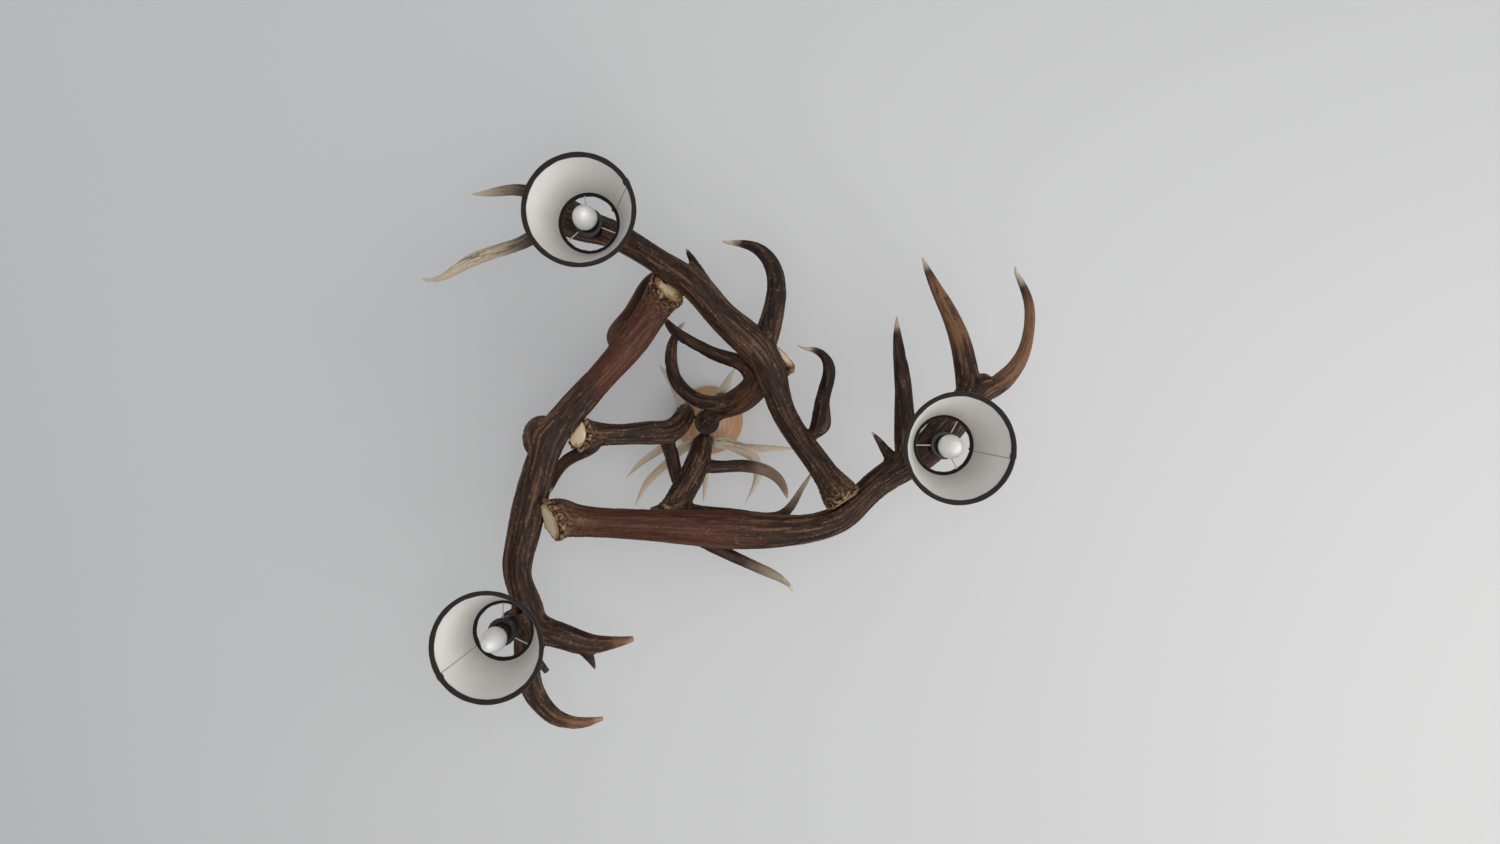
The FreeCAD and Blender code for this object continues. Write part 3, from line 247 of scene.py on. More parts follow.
def weathered_antler():
    """Red deer antler: bark stain lies dark in the furrows, ridges and pearls are rubbed lighter,
    tips are worn to pale bone with a low polish, and a sawn end shows cream bone."""
    made, tree, shader = material("weathered_antler", {"Specular IOR Level": 0.2})
    patch = drift(tree, STAIN_PATCH, 5.0, 0.65)
    fleck = drift(tree, FLECK_GRAIN, 2.0)
    furrow, pale, tan = field(tree, "furrow"), field(tree, "pale"), field(tree, "tan")

    colour = mixed(tree, "#21140e", "#3d291f", patch)
    coats = (("#512c1d", field(tree, "ruddy")), ("#7b583f", tan), ("#76543d", field(tree, "crest")),
             ("#150f0d", field(tree, "dark")), ("#120b09", furrow), ("#9d7b58", field(tree, "pearl")))
    for coat, share in coats:
        colour = mixed(tree, colour, coat, share)
    bone = mixed(tree, mixed(tree, "#b59d80", "#e3d6c0", fleck), "#6d5746", furrow)
    bone = mixed(tree, bone, "#8d7159", tan)
    rim = mixed(tree, "#6b4a2c", "#b78f60", fleck)
    cut = mixed(tree, mixed(tree, "#cfb68c", "#f0dfbe", fleck), rim, field(tree, "rim"))
    colour_by(tree, shader, mixed(tree, colour, bone, pale), cut, field(tree, "sawn"))

    tree.links.new(ranged(tree, pale, "To", 0.6, 0.38), shader.inputs["Roughness"])
    relief(tree, shader, fleck, 0.35, 0.25)
    return made


RING_SPACING = 6                    # mm between the growth rings of the wood
PINE_HEART = (0.055, 0.0, 0.115)    # m, from the heart of the tree to the rose
FIBRES_PER_METRE = (420, 22, 420)   # long along the grain, which runs along Y
WAVE_LENGTH = 0.314                 # m, a wave texture's pitch at a scale of one


def varnished_pine():
    """Turned pine under amber varnish: growth rings round a heart below the rose, so its face shows
    long bands and its edge arched ones, with fine fibres along the grain and a soft gloss."""
    made, tree, shader = material("varnished_pine", {
        "Roughness": 0.38, "Coat Weight": 0.35, "Coat Roughness": 0.2})
    spot = add(tree, "TexCoord").outputs["Object"]
    heart = add(tree, "Mapping", {"Location": PINE_HEART}, {"Vector": spot})
    rings = add(tree, "TexWave", {"Scale": WAVE_LENGTH / (RING_SPACING * MM), "Distortion": 2.2,
                                  "Detail": 3.0, "Detail Scale": 0.5}, {"Vector": heart.outputs[0]},
                wave_type="RINGS", rings_direction="Y").outputs["Fac"]
    drawn = add(tree, "Mapping", {"Scale": FIBRES_PER_METRE}, {"Vector": spot}).outputs[0]
    fibre = add(tree, "TexNoise", {"Scale": 1.0, "Detail": 3.0}, {"Vector": drawn}).outputs["Fac"]
    colour_by(tree, shader, mixed(tree, "#b4875c", "#93633b", rings), "#a97a50", fibre)
    relief(tree, shader, fibre, 0.2, 0.15)
    return made


def bare_metal(name, light, dark, roughness, mark, depth=0.05):
    """A bare metal whose tone and gloss drift over marks of a size and depth in mm."""
    made, tree, shader = material(name, {"Metallic": 1.0})
    marks = drift(tree, mark, 5.0, 0.65)
    colour_by(tree, shader, dark, light, marks)
    gloss = ranged(tree, marks, "To", roughness - 0.08, roughness + 0.1)
    tree.links.new(gloss, shader.inputs["Roughness"])
    relief(tree, shader, marks, 0.25, depth)
    return made


def forged_black_steel():
    """Forged bar blacked in oil: nearly black, scale marks, dull sheen."""
    return bare_metal("forged_black_steel", "#3a3633", "#171514", 0.46, 4, 0.25)


TOOL_PITCH = 1.6                    # mm between tool marks; real ones are too fine to show


def blacked_turned_steel():
    """Turned steel hub, chemically blacked: fine tool rings under a dark satin."""
    made, tree, shader = material("blacked_turned_steel", {"Metallic": 1.0, "Roughness": 0.42})
    spot = add(tree, "TexCoord").outputs["Object"]
    rings = add(tree, "TexWave", {"Scale": WAVE_LENGTH / (TOOL_PITCH * MM), "Distortion": 0.6},
                {"Vector": spot}, wave_type="BANDS", bands_direction="Z").outputs["Fac"]
    colour_by(tree, shader, "#151210", "#2d2824", drift(tree, 9, 4.0))
    relief(tree, shader, rings, 0.3, 0.06)
    return made


def zinc_plate():
    """Bright zinc-plated steel: cool grey, faint spangle."""
    return bare_metal("zinc_plated_steel", "#c9cbcb", "#9a9c9e", 0.34, 3)


def black_zinc_plate():
    """Zinc-plated steel with a black passivated skin, on nuts and dowels that may show from below."""
    return bare_metal("black_zinc_plated_steel", "#302d2a", "#171514", 0.48, 4)


def aged_brass():
    """Lacquered brass, a little dulled."""
    return bare_metal("aged_brass", "#c9a35c", "#93713a", 0.32, 6)


def nickel_plate():
    """Nickel-plated bulb cap: warm silver."""
    return bare_metal("nickel_plated_brass", "#d2ccc2", "#a8a298", 0.27, 5)


def moulded_phenolic():
    """Black phenolic moulding: deep black, faint flow texture, half gloss."""
    made, tree, shader = material("black_phenolic", {"Roughness": 0.36})
    flow = drift(tree, 2.2, 3.0)
    colour_by(tree, shader, "#0e0d0d", "#201d1c", flow)
    relief(tree, shader, flow, 0.12, 0.08)
    return made


def moulded_urea():
    """Cream-white urea moulding of the terminal block."""
    made, tree, shader = material("white_urea", {"Roughness": 0.42})
    colour_by(tree, shader, "#dcd8cb", "#eeebe1", drift(tree, 7, 2.0))
    return made


def opal_glass():
    """Opal glass bulb, unlit: milky white, soft inside, glossy skin."""
    made, tree, shader = material("opal_glass", {
        "Roughness": 0.3, "Subsurface Weight": 0.35, "Subsurface Radius": (0.004, 0.004, 0.004),
        "Coat Weight": 0.4, "Coat Roughness": 0.12})
    colour_by(tree, shader, "#e0e0dc", "#eeeeea", drift(tree, 16, 2.0))
    return made


THREAD_SPACING = 0.9                # mm; real threads of 0.45 mm wouldn't show


def woven_cloth(name, warp_colour, weft_colour, roughness, sheen):
    """Plain-woven cotton: warp and weft threads cross, matt with a little fuzz.  The two wave
    patterns run round the shade (by angle) and up it."""
    made, tree, shader = material(name, {
        "Roughness": roughness, "Sheen Weight": sheen, "Specular IOR Level": 0.25})
    weave = add(tree, "Attribute", attribute_name="weave")
    parts = add(tree, "SeparateXYZ", links={0: weave.outputs["Vector"]})
    waves = []
    for axis in ("X", "Y"):
        phase = maths(tree, "MULTIPLY", parts.outputs[axis], math.tau / THREAD_SPACING)
        wave = maths(tree, "SINE", phase)
        waves.append(ranged(tree, wave, "From", -1.0, 1.0))
    crossing = maths(tree, "MULTIPLY", *waves)
    slub = drift(tree, 6, 4.0)
    halves = [maths(tree, "MULTIPLY", share, 0.5) for share in (crossing, slub)]
    colour_by(tree, shader, warp_colour, weft_colour, maths(tree, "ADD", *halves))
    relief(tree, shader, crossing, 0.4, 0.12)
    return made


def brown_shade_cotton():
    """Dark brown cotton on the outside of the shade."""
    return woven_cloth("brown_shade_cotton", "#2c1d17", "#4b352a", 0.88, 0.25)


def dark_edge_tape():
    """Near-black cotton tape rolled round the shade's edges."""
    return woven_cloth("dark_edge_tape", "#120b09", "#2a1a15", 0.8, 0.2)


def shade_lining():
    """White styrene lining inside the shade: smooth, faintly warm, with a grey line painted as the
    shadow of its overlap's edge.
    """
    made, tree, shader = material("white_styrene_lining", {"Roughness": 0.55, "Specular IOR Level": 0.3})
    white = mixed(tree, "#dad7d2", "#e8e5e1", drift(tree, 30, 3.0))
    # painted shadow: grey along the seam field, where the lining's overlap edge would cast its thin
    # shadow
    colour_by(tree, shader, white, "#7c756c", field(tree, "seam"))
    return made


def white_wire():
    """White-painted steel wire, the paint a little grey where it is handled."""
    made, tree, shader = material("white_painted_wire", {"Roughness": 0.4})
    colour_by(tree, shader, "#a8a49d", "#dedbd5", drift(tree, 5, 3.0))
    return made


# ------------------------ making pieces

def new_piece(name, mesh, body, surfaces, stands_for):
    """Link a finished mesh, give it its finish and let it ride on its body."""
    piece = bpy.data.objects.new(name, mesh)
    bpy.context.scene.collection.objects.link(piece)
    for surface in surfaces:
        mesh.materials.append(surface)
    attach(piece, body)
    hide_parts(*stands_for)


def smooth(mesh, sharp_angle=35):
    """Shade a mesh smooth but for its crisp edges."""
    mesh.shade_smooth()
    mesh.set_sharp_from_angle(angle=math.radians(sharp_angle))


def eased(outline, ease):
    """Take the arris off every corner of an outline: each corner becomes three points."""
    spots = [Vector(point) for point in outline]
    made = []
    for index, spot in enumerate(spots):
        before, after = spots[index - 1], spots[(index + 1) % len(spots)]
        if spot.x == 0:
            made.append(tuple(spot))
            continue
        into = before - spot
        out = after - spot
        step = min(ease, into.length * 0.4, out.length * 0.4)
        first = spot + into.normalized() * step
        last = spot + out.normalized() * step
        made.extend([tuple(first), tuple((first + last + spot * 2) / 4), tuple(last)])
    return made


def curve_through(points, steps=6):
    """A smooth line through given points, with some steps between each two."""
    spots = [Vector(point) for point in points]
    padded = [spots[0] * 2 - spots[1]] + spots + [spots[-1] * 2 - spots[-2]]
    made = []
    for a, b, c, d in zip(padded, padded[1:], padded[2:], padded[3:]):
        for step in range(steps):
            t = step / steps
            made.append(tuple(0.5 * (b * 2 + (c - a) * t + (a * 2 - b * 5 + c * 4 - d) * t ** 2
                                     + (b * 3 - a - c * 3 + d) * t ** 3)))
    made.append(tuple(spots[-1]))
    return made


ON_AXIS = 1e-6                      # mm, a radius below this is a point on the axis


def lathe(name, outline, place=Matrix.Identity(4), segments=96, shape=None, closed=True):
    """Turn an outline of (radius, height) in mm about Z and put it in place.  shape may change a
    point's radius and height by its angle."""
    verts, faces, rows = [], [], []
    for radius, height in outline:
        if radius < ON_AXIS:
            rows.append([len(verts)] * segments)
            verts.append((0, 0, height))
            continue
        rows.append(list(range(len(verts), len(verts) + segments)))
        for step in range(segments):
            angle = math.tau * step / segments
            r, h = shape(radius, height, angle) if shape else (radius, height)
            verts.append((r * math.cos(angle), r * math.sin(angle), h))
    pairs = list(zip(rows, rows[1:]))
    if closed and outline[0][0] > ON_AXIS:
        pairs.append((rows[-1], rows[0]))
    for low, high in pairs:
        for step in range(segments):
            following = (step + 1) % segments
            corners = [low[step], low[following], high[following], high[step]]
            unique = list(dict.fromkeys(corners))
            if len(unique) > 2:
                faces.append(unique)
    mesh = bpy.data.meshes.new(name)
    mesh.from_pydata([place @ (Vector(vert) * MM) for vert in verts], [], faces)
    face_outwards(mesh)
    smooth(mesh)
    return mesh


def face_outwards(mesh):
    """Turn every face of a closed mesh to its outside."""
    work = bmesh.new()
    work.from_mesh(mesh)
    bmesh.ops.recalc_face_normals(work, faces=work.faces)
    work.to_mesh(mesh)
    work.free()


def keep_field(mesh, name, values):
    """Keep a number or a vector for every vertex of a mesh, for its material to read."""
    values = np.array(values, np.float32)
    kind, part = ("FLOAT", "value") if values.ndim == 1 else ("FLOAT_VECTOR", "vector")
    mesh.attributes.new(name, kind, "POINT").data.foreach_set(part, values.ravel())


def one_per_lamp(stem):
    """The names of the nodes that every lamp has one of."""
    return ["%s_%d" % (stem, number) for number in LAMPS]


def joint_place(joint):
    """The frame of a joint: its place, with Z along its axis."""
    facts = JOINTS[joint]
    turn = UP.rotation_difference(Vector(facts["axis"]))
    return Matrix.Translation(Vector(facts["pos_m"])) @ turn.to_matrix().to_4x4()


# ------------------------ antlers

# Each antler: the middle of its sawn end, the direction from there into the antler, the share of
# that end which shows clean bone, and tones as (x, y, z, radius, tone, amount).  All in mm, from
# the hook's axis.
ANTLERS = {
    "lower_antler_1": ((219, 122, -362), (-4, -6, 1), 0.45, [
        (-400, -300, -315, 140, "pale", 0.85), (104, -235, -302, 78, "dark", 0.7),
        (192, -70, -308, 62, "dark", 0.7)]),
    "lower_antler_2": ((-242, 151, -374), (5, -2, 3), 0.7, [
        (-70, 161, -345, 200, "ruddy", 0.75), (390, -180, -310, 95, "tan", 0.9),
        (505, -130, -310, 95, "tan", 0.85), (310, -120, -318, 60, "dark", 0.4)]),
    "lower_antler_3": ((-57, -213, -348), (-3, 3, 3), 0.45, [
        (-130, -120, -338, 120, "ruddy", 0.85), (-260, 15, -300, 55, "tan", 0.5),
        (-185, 490, -305, 75, "tan", 0.8), (-120, 350, -320, 40, "tan", 0.6)]),
    # The small antlers' dark tones lie where they close in round the hub.
    "upper_antler_1": ((123, -109, -317), (-5, 5, 2), 0.55, [
        (70, -50, -290, 55, "ruddy", 0.6), (-30, -50, -270, 70, "dark", 0.35)]),
    "upper_antler_2": ((-63, 163, -318), (2, -3, 5), 0.55, [
        (-30, 100, -280, 60, "dark", 0.3), (135, 85, -255, 75, "pale", 0.4),
        (135, 265, -297, 80, "pale", 0.4), (110, 90, -255, 80, "tan", 0.5)]),
    "upper_antler_3": ((-203, 15, -346), (3, 0, 5), 0.75, [
        (-90, 16, -285, 70, "dark", 0.25)]),
}
FINE = 1.7                          # mm, voxel of the skin
COARSE = 5.0                        # mm, voxel on which the limbs' run and girth are found
FURROW_SPACING = 7.0                # mm from furrow to furrow
FURROW_DEPTH = 1.5                  # mm
BROAD_CELL = 11                     # mm, size of the swells that furrows come and go on
SMOOTHING = 9                       # rounds that take out the steps of the even skin
RUN_STEP = 6.0                      # mm, steps in which a furrow is followed
RUN_STEPS = 8                       # steps to each side of a point
RUN_PARTS = 3                       # points to a step, closer than the noise turns
RUN_CELL = 10.0                     # mm, grid on which the limbs' direction is kept
PEARL_SPACING = 4.6                 # mm
CORONET_PLACE = 6                   # mm behind the sawn end, the middle of its beaded collar
CORONET_WIDTH = 5.5                 # mm
CORONET_RISE = 3.0                  # mm
BEAD_SPACING = 5.2                  # mm, between the coronet's beads
TIP_GIRTH = 12.5                    # mm, thickness below which a tine is worn pale
UPPER_PALE = (-212, -170)           # mm, heights between which the small antlers turn bone pale
HOLDER_LENGTH = 62                  # mm, from the antler's flat to the holder's mouth
LAMP_SEATS = [joint_place("bulb_turn_%d" % n) @ Vector((0, 0, HOLDER_LENGTH * MM)) for n in LAMPS]
LAMP_SEAT_REACH = (17, 25)          # mm from a lamp's seat: plain within, furrowed beyond
HUB_REACH = (23, 30)                # mm from the hook's axis, the same
HUB_FOOT = -252                     # mm, height above which the antlers lie beside the hub
HASH_STEPS = np.array((73856093, 19349663, 83492791))  # per axis, so that neighbour cells differ
SEED_STEP = 2654435
HASH_SCRAMBLE = 1274126177
HASH_TOP = 0x7FFFFFFF


def value_noise(points, cell, seed):
    """Smooth random values from -1 to 1 in a lattice of cells."""
    at = points / cell + 512.0
    low = np.floor(at).astype(np.int64)
    part = at - low
    part = part * part * (3 - 2 * part)
    total = np.zeros(len(points))
    for corner in itertools.product((0, 1), repeat=3):
        key = (low + np.array(corner)) * HASH_STEPS
        hashed = key[:, 0] ^ key[:, 1] ^ key[:, 2] ^ seed * SEED_STEP
        hashed = ((hashed ^ (hashed >> 13)) * HASH_SCRAMBLE) & HASH_TOP
        weight = np.prod(np.where(corner, part, 1 - part), axis=1)
        total += (hashed / (HASH_TOP >> 1) - 1) * weight
    return total


def wander(points, cell, reach, seed):
    """Noise that makes the edge of a patch wander, by a reach in mm."""
    return value_noise(points, cell, seed) * reach


def streaks(runs, cell, seed):
    """Noise drawn out along the limbs, scaled to a spread of one."""
    total = sum(value_noise(points, cell, seed) for points in runs)
    return total / total.std()


def follow_limbs(spots, axis, guide_spots, guide_axis):
    """Points that run along the limb from every spot, to both sides.  The limbs' direction is kept
    as tensors on a grid, so it has no sign, and each step turns the last one towards it."""
    low = guide_spots.min(axis=0) - RUN_CELL * 2
    shape = np.ceil((guide_spots.max(axis=0) - low) / RUN_CELL).astype(int) + 3
    grid = np.zeros((shape.prod(), 9))
    tensors = (guide_axis[:, :, None] * guide_axis[:, None, :]).reshape(-1, 9)
    strides = np.array([shape[1] * shape[2], shape[2], 1])
    home = np.floor((guide_spots - low) / RUN_CELL).astype(int) @ strides
    for column in range(9):
        grid[:, column] = np.bincount(home, tensors[:, column], len(grid))
    runs = [spots]
    for sign in (1, -1):
        here, heading = spots, axis * sign
        for _ in range(RUN_STEPS):
            at = (here - low) / RUN_CELL - 0.5
            base = np.clip(np.floor(at).astype(int), 0, shape - 2)
            within = np.clip(at - base, 0, 1)
            pull = np.zeros((len(spots), 9))
            for corner in itertools.product((0, 1), repeat=3):
                weight = np.prod(np.where(corner, within, 1 - within), axis=1)
                pull += grid[(base + np.array(corner)) @ strides] * weight[:, None]
            turned = np.einsum("nij,nj->ni", pull.reshape(-1, 3, 3), heading)
            length = np.linalg.norm(turned, axis=1, keepdims=True)
            heading = np.where(length > 1e-6, turned / np.maximum(length, 1e-6), heading)
            runs += [here + heading * (RUN_STEP * part / RUN_PARTS) for part in range(1, RUN_PARTS + 1)]
            here = runs[-1]
    return runs


def ramp(values, low, high):
    """A smooth step from 0 at low to 1 at high."""
    share = np.clip((values - low) / (high - low), 0, 1)
    return share * share * (3 - 2 * share)


def welded_copy(node):
    """The node's solid as one welded mesh."""
    mesh = frame["nodes"][node].data.copy()
    work = bmesh.new()
    work.from_mesh(mesh)
    bmesh.ops.remove_doubles(work, verts=work.verts, dist=1e-6)
    work.to_mesh(mesh)
    work.free()
    return mesh


def remeshed(node, voxel):
    """The node's solid with a skin of even quads."""
    carrier = bpy.data.objects.new("carrier", welded_copy(node))
    bpy.context.scene.collection.objects.link(carrier)
    change = carrier.modifiers.new("even_quads", "REMESH")
    change.mode = "VOXEL"
    change.voxel_size = voxel * MM
    graph = bpy.context.evaluated_depsgraph_get()
    mesh = bpy.data.meshes.new_from_object(carrier.evaluated_get(graph))
    bpy.data.objects.remove(carrier)
    mesh.materials.clear()
    return mesh


def read(collection, what, width, kind=np.float32):
    """One field of a mesh's vertices or edges as an array."""
    flat = np.empty(len(collection) * width, kind)
    collection.foreach_get(what, flat)
    return flat.reshape(-1, width).astype(float if kind is np.float32 else kind)


def evened(values, edges, rounds):
    """Average every vertex with its neighbours, a number of times."""
    first, second = edges.T
    count = np.maximum(np.bincount(edges.ravel(), minlength=len(values)), 1)
    values = values.copy()
    for _ in range(rounds):
        for column in range(values.shape[1]):
            line = values[:, column]
            near = np.bincount(first, line[second], len(line))
            near += np.bincount(second, line[first], len(line))
            values[:, column] = (line + near / count) / 2
    return values


def limb_axis(turning):
    """The direction along the limb: the one that the surface's normals turn round."""
    return np.linalg.eigh(turning.reshape(-1, 3, 3))[1][:, :, 0]


AXIS_ROUNDS = (60, 8)               # evening of the limbs' direction: coarse skin, fine skin
GIRTH_ROUNDS = (12, 6)              # the same of their girth
THICKEST = 60                       # mm, girth beyond which limbs count as equally thick
THINNEST = 2.0                      # mm, girth where a ray finds no far side


def survey(node):
    """On a coarse skin: how the surface turns about each limb, and how thick the limb is (mm)."""
    mesh = remeshed(node, COARSE)
    edges = read(mesh.edges, "vertices", 2, np.int32)
    points = read(mesh.vertices, "co", 3)
    normals = read(mesh.vertices, "normal", 3)
    turning = (normals[:, :, None] * normals[:, None, :]).reshape(-1, 9)
    turning = evened(turning, edges, AXIS_ROUNDS[0])
    tree = BVHTree.FromPolygons([vertex.co for vertex in mesh.vertices],
                                [tuple(face.vertices) for face in mesh.polygons])
    girth = np.zeros((len(points), 1))
    for index, vertex in enumerate(mesh.vertices):
        hit = tree.ray_cast(vertex.co - vertex.normal * MM * 0.5, -vertex.normal)
        girth[index] = min(hit[3] / MM, THICKEST) if hit[0] else THINNEST
    girth = evened(girth, edges, GIRTH_ROUNDS[0])
    nearest = KDTree(len(points))
    for index, point in enumerate(points):
        nearest.insert(point, index)
    nearest.balance()
    return points / MM, limb_axis(turning), turning, girth, nearest


def antler_tones(node, spots, girth, seed):
    """How pale, tan, ruddy and dark each point of an antler is, from 0 to 1."""
    tone = {name: np.zeros(len(spots)) for name in ("pale", "tan", "ruddy", "dark")}
    for x, y, z, radius, name, amount in ANTLERS[node][3]:
        distance = np.linalg.norm(spots - (x, y, z), axis=1) + wander(spots, 22, 14, seed + 9)
        tone[name] = np.maximum(tone[name], amount * ramp(distance, radius, radius * 0.45))
    tip = ramp(girth + wander(spots, 9, 2, seed + 5), TIP_GIRTH, TIP_GIRTH * 0.5)
    tone["pale"] = np.maximum(tone["pale"], tip * 0.85)
    if node.startswith("upper"):
        high = ramp(spots[:, 2] + wander(spots, 20, 12, seed + 6), *UPPER_PALE)
        tone["pale"] = np.maximum(tone["pale"], high * ramp(girth, 32, 20) * 0.9)
    tone["dark"] = tone["dark"] * (1 - tip)
    return tone


def burr(end, inward, spots, normals, seed):
    """What lies at a sawn end: the coronet's collar and beads, the rough skin behind it, the sawn
    face, the share of the way from its middle to its edge, and how far pearls stand out."""
    way = np.array(Vector(inward).normalized())
    along = (spots - end) @ way
    across = np.linalg.norm(spots - end - along[:, None] * way, axis=1)
    near_end = ramp(across, 50, 42) * ramp(along, 90, 10)
    pearled = np.exp(-np.clip(along, 0, None) / 70) * ramp(across, 80, 50)
    facing = normals @ way
    side = ramp(np.abs(facing), 0.85, 0.6)
    beads = value_noise(spots, BEAD_SPACING / 2, seed + 3)
    collar = np.exp(-((along - CORONET_PLACE) / CORONET_WIDTH) ** 2) * side * near_end
    rough = np.exp(-np.clip(along - 10, 0, None) / 26) * near_end * side
    sawn = ramp(facing, -0.78, -0.92) * ramp(along, 10, 5) * near_end
    face_edge = np.percentile(across[sawn > 0.5], 95) if (sawn > 0.5).any() else 30
    return collar, beads, rough, sawn, across / face_edge, pearled


def free_of_fittings(spots):
    """0 where metal parts seat on the antlers and the skin stays true, 1 away from them."""
    free = np.ones(len(spots))
    for seat in LAMP_SEATS:
        free *= ramp(np.linalg.norm(spots - np.array(seat) / MM, axis=1), *LAMP_SEAT_REACH)
    from_axis = np.linalg.norm(spots[:, :2], axis=1)
    return free * np.where(spots[:, 2] > HUB_FOOT, ramp(from_axis, *HUB_REACH), 1)


def dress_antler(node, surface):
    """Skin one antler with furrows, pearls and its beaded coronet, and note its tones."""
    end, inward, clean = ANTLERS[node][:3]
    guide_spots, guide_axis, turning, girth, nearest = survey(node)
    mesh = remeshed(node, FINE)
    edges = read(mesh.edges, "vertices", 2, np.int32)
    points = evened(read(mesh.vertices, "co", 3), edges, SMOOTHING)
    mesh.vertices.foreach_set("co", points.astype(np.float32).ravel())
    mesh.update()
    normals = read(mesh.vertices, "normal", 3)
    closest = np.array([nearest.find(point)[1] for point in points])
    axis = limb_axis(evened(turning[closest], edges, AXIS_ROUNDS[1]))
    girth = evened(girth[closest], edges, GIRTH_ROUNDS[1])[:, 0]
    spots = points / MM
    is_upper = node.startswith("upper")
    seed = 7 * len(node) + int(node[-1]) + (50 if is_upper else 0)  # its own for each antler
    tone = antler_tones(node, spots, girth, seed)

    runs = follow_limbs(spots, axis, guide_spots, guide_axis)
    strand = streaks(runs, FURROW_SPACING / 2, seed)
    broad = streaks(runs[::RUN_PARTS], BROAD_CELL, seed + 1)
    stout = ramp(girth, 8, 24)
    calm = 1 - 0.45 * tone["ruddy"]
    furrow = np.exp(-(strand / 0.42) ** 2) * (0.45 + 0.55 * ramp(broad, 1.2, -0.6))
    crest = ramp(np.abs(strand), 0.7, 1.7) * (0.35 + 0.65 * ramp(broad, -0.6, 1.2))
    pearl = value_noise(spots, PEARL_SPACING / 2, seed + 2)
    pearl = ramp(pearl, 0.3, 0.75) * ramp(np.abs(strand), 0.5, 1.2)
    collar, beads, rough, sawn, to_edge, pearled = burr(end, inward, spots, normals, seed)

    rise = stout * calm * (-FURROW_DEPTH * furrow + (0.4 + 1.1 * pearled) * pearl) + 0.45 * stout * broad
    rise += collar * CORONET_RISE * (0.35 + np.clip(beads * 1.6, -0.8, 0.9))
    rise += rough * 0.9 * np.clip(beads, -0.5, 1)
    rise *= free_of_fittings(spots) * (1 - sawn)
    moved = points + normals * (rise * MM)[:, None]
    mesh.vertices.foreach_set("co", moved.astype(np.float32).ravel())
    mesh.update()

    bead_tone = ramp(beads, 0.0, 0.45) * np.maximum(collar, rough * 0.45)
    fields = {
        "furrow": furrow * stout * calm * 0.9 + collar * ramp(beads, 0, -0.4) * 0.8,
        "crest": crest * 0.6 * (0.4 + 0.6 * stout) * (1 - 0.7 * tone["ruddy"]),
        "pearl": np.clip(pearl * 0.35 * stout * calm + bead_tone, 0, 1),
        "sawn": sawn,
        "rim": ramp(to_edge + beads * 0.25, clean, clean + 0.35),
        **tone,
    }
    for name, values in fields.items():
        keep_field(mesh, name, values)
    mesh.shade_smooth()
    new_piece("furrowed_" + node, mesh, "antler_frame", [surface],
              [node])


def dress_antlers():
    """Skin all six antlers in one material."""
    surface = weathered_antler()
    for node in ANTLERS:
        dress_antler(node, surface)


# ------------------------ ceiling fixing and suspension

CANOPY_RADIUS = 64
CANOPY_HEIGHT = 38


def dress_canopy():
    """Turned rose: a flat bead at the ceiling, an ogee, a small step and a flat face."""
    outside = curve_through([(CANOPY_RADIUS, -6.5), (62, -13), (56.6, -18.5), (54.6, -23.5), (51, -29.5),
                             (46.5, -33.5)])
    outline = [(58, 0), (63.2, 0), (CANOPY_RADIUS, -1), (CANOPY_RADIUS, -5.4)]
    outline += outside[1:] + [(44.5, -34.6), (43.8, -36.4), (42.6, -37.6), (40.5, -CANOPY_HEIGHT)]
    outline += [(12, -CANOPY_HEIGHT), (3.5, -CANOPY_HEIGHT)]
    outline += [(3.5, -32), (38, -32), (47.6, -19), (58, -7.6)]  # its inside
    mesh = lathe("canopy", outline, segments=144)
    new_piece("turned_canopy", mesh, "ceiling_fixing", [varnished_pine()], ["canopy"])


def dress_collar():
    """Knurled collar: fine upright ribs round its middle."""
    ribs, rim, rib_depth = 48, 9, 0.35

    def knurl(radius, height, angle):
        if radius < rim:
            return radius, height
        return radius - rib_depth * (0.5 - 0.5 * math.cos(angle * ribs)), height

    outline = [(3.1, -CANOPY_HEIGHT), (7.2, -CANOPY_HEIGHT), (8.3, -38.9), (rim, -39.6), (rim, -41.2),
               (rim, -43), (8.2, -43.9), (6.6, -45), (3.1, -45)]
    mesh = lathe("collar", outline, segments=ribs * 6, shape=knurl)
    new_piece("knurled_collar", mesh, "ceiling_fixing", [aged_brass()], ["canopy_collar"])


ROD_RADIUS = 4.0
ROD_PITCH = 1.25                    # mm, thread of the centre rod
ROD_THREAD_DEPTH = 0.55


def dress_rod():
    """The centre rod with its rolled thread as one helical groove."""
    low, high = (corner.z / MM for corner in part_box("centre_rod"))
    segments, rows_per_turn = 32, 5
    rows = int((high - low) / ROD_PITCH * rows_per_turn)
    outline = [(0, low), (3.4, low)]
    outline += [(ROD_RADIUS, low + 0.5 + (high - low - 1) * row / rows) for row in range(rows + 1)]
    outline += [(3.4, high), (0, high)]

    def thread(radius, height, angle):
        if radius < ROD_RADIUS:
            return radius, height
        turn = (height / ROD_PITCH - angle / math.tau) % 1
        return radius - ROD_THREAD_DEPTH * abs(turn * 2 - 1), height

    mesh = lathe("rod", outline, segments=segments, shape=thread)
    new_piece("threaded_rod", mesh, "antler_frame", [zinc_plate()], ["centre_rod"])


EASED_EDGE = 0.5                    # mm, width of the bevel on the metal parts' sharp edges
WELD_REACH = 0.002                  # mm, corners this close are one


def soften_edges(node):
    """Ease a carried-over node's sharp edges by a small bevel."""
    piece = frame["nodes"][node]
    weld = piece.modifiers.new("weld", "WELD")
    weld.merge_threshold = WELD_REACH * MM
    bevel = piece.modifiers.new("eased_edges", "BEVEL")
    bevel.width = EASED_EDGE * MM
    bevel.segments = 2
    bevel.limit_method = "ANGLE"
    bevel.angle_limit = math.radians(40)
    bevel.harden_normals = True
    bevel.use_clamp_overlap = True


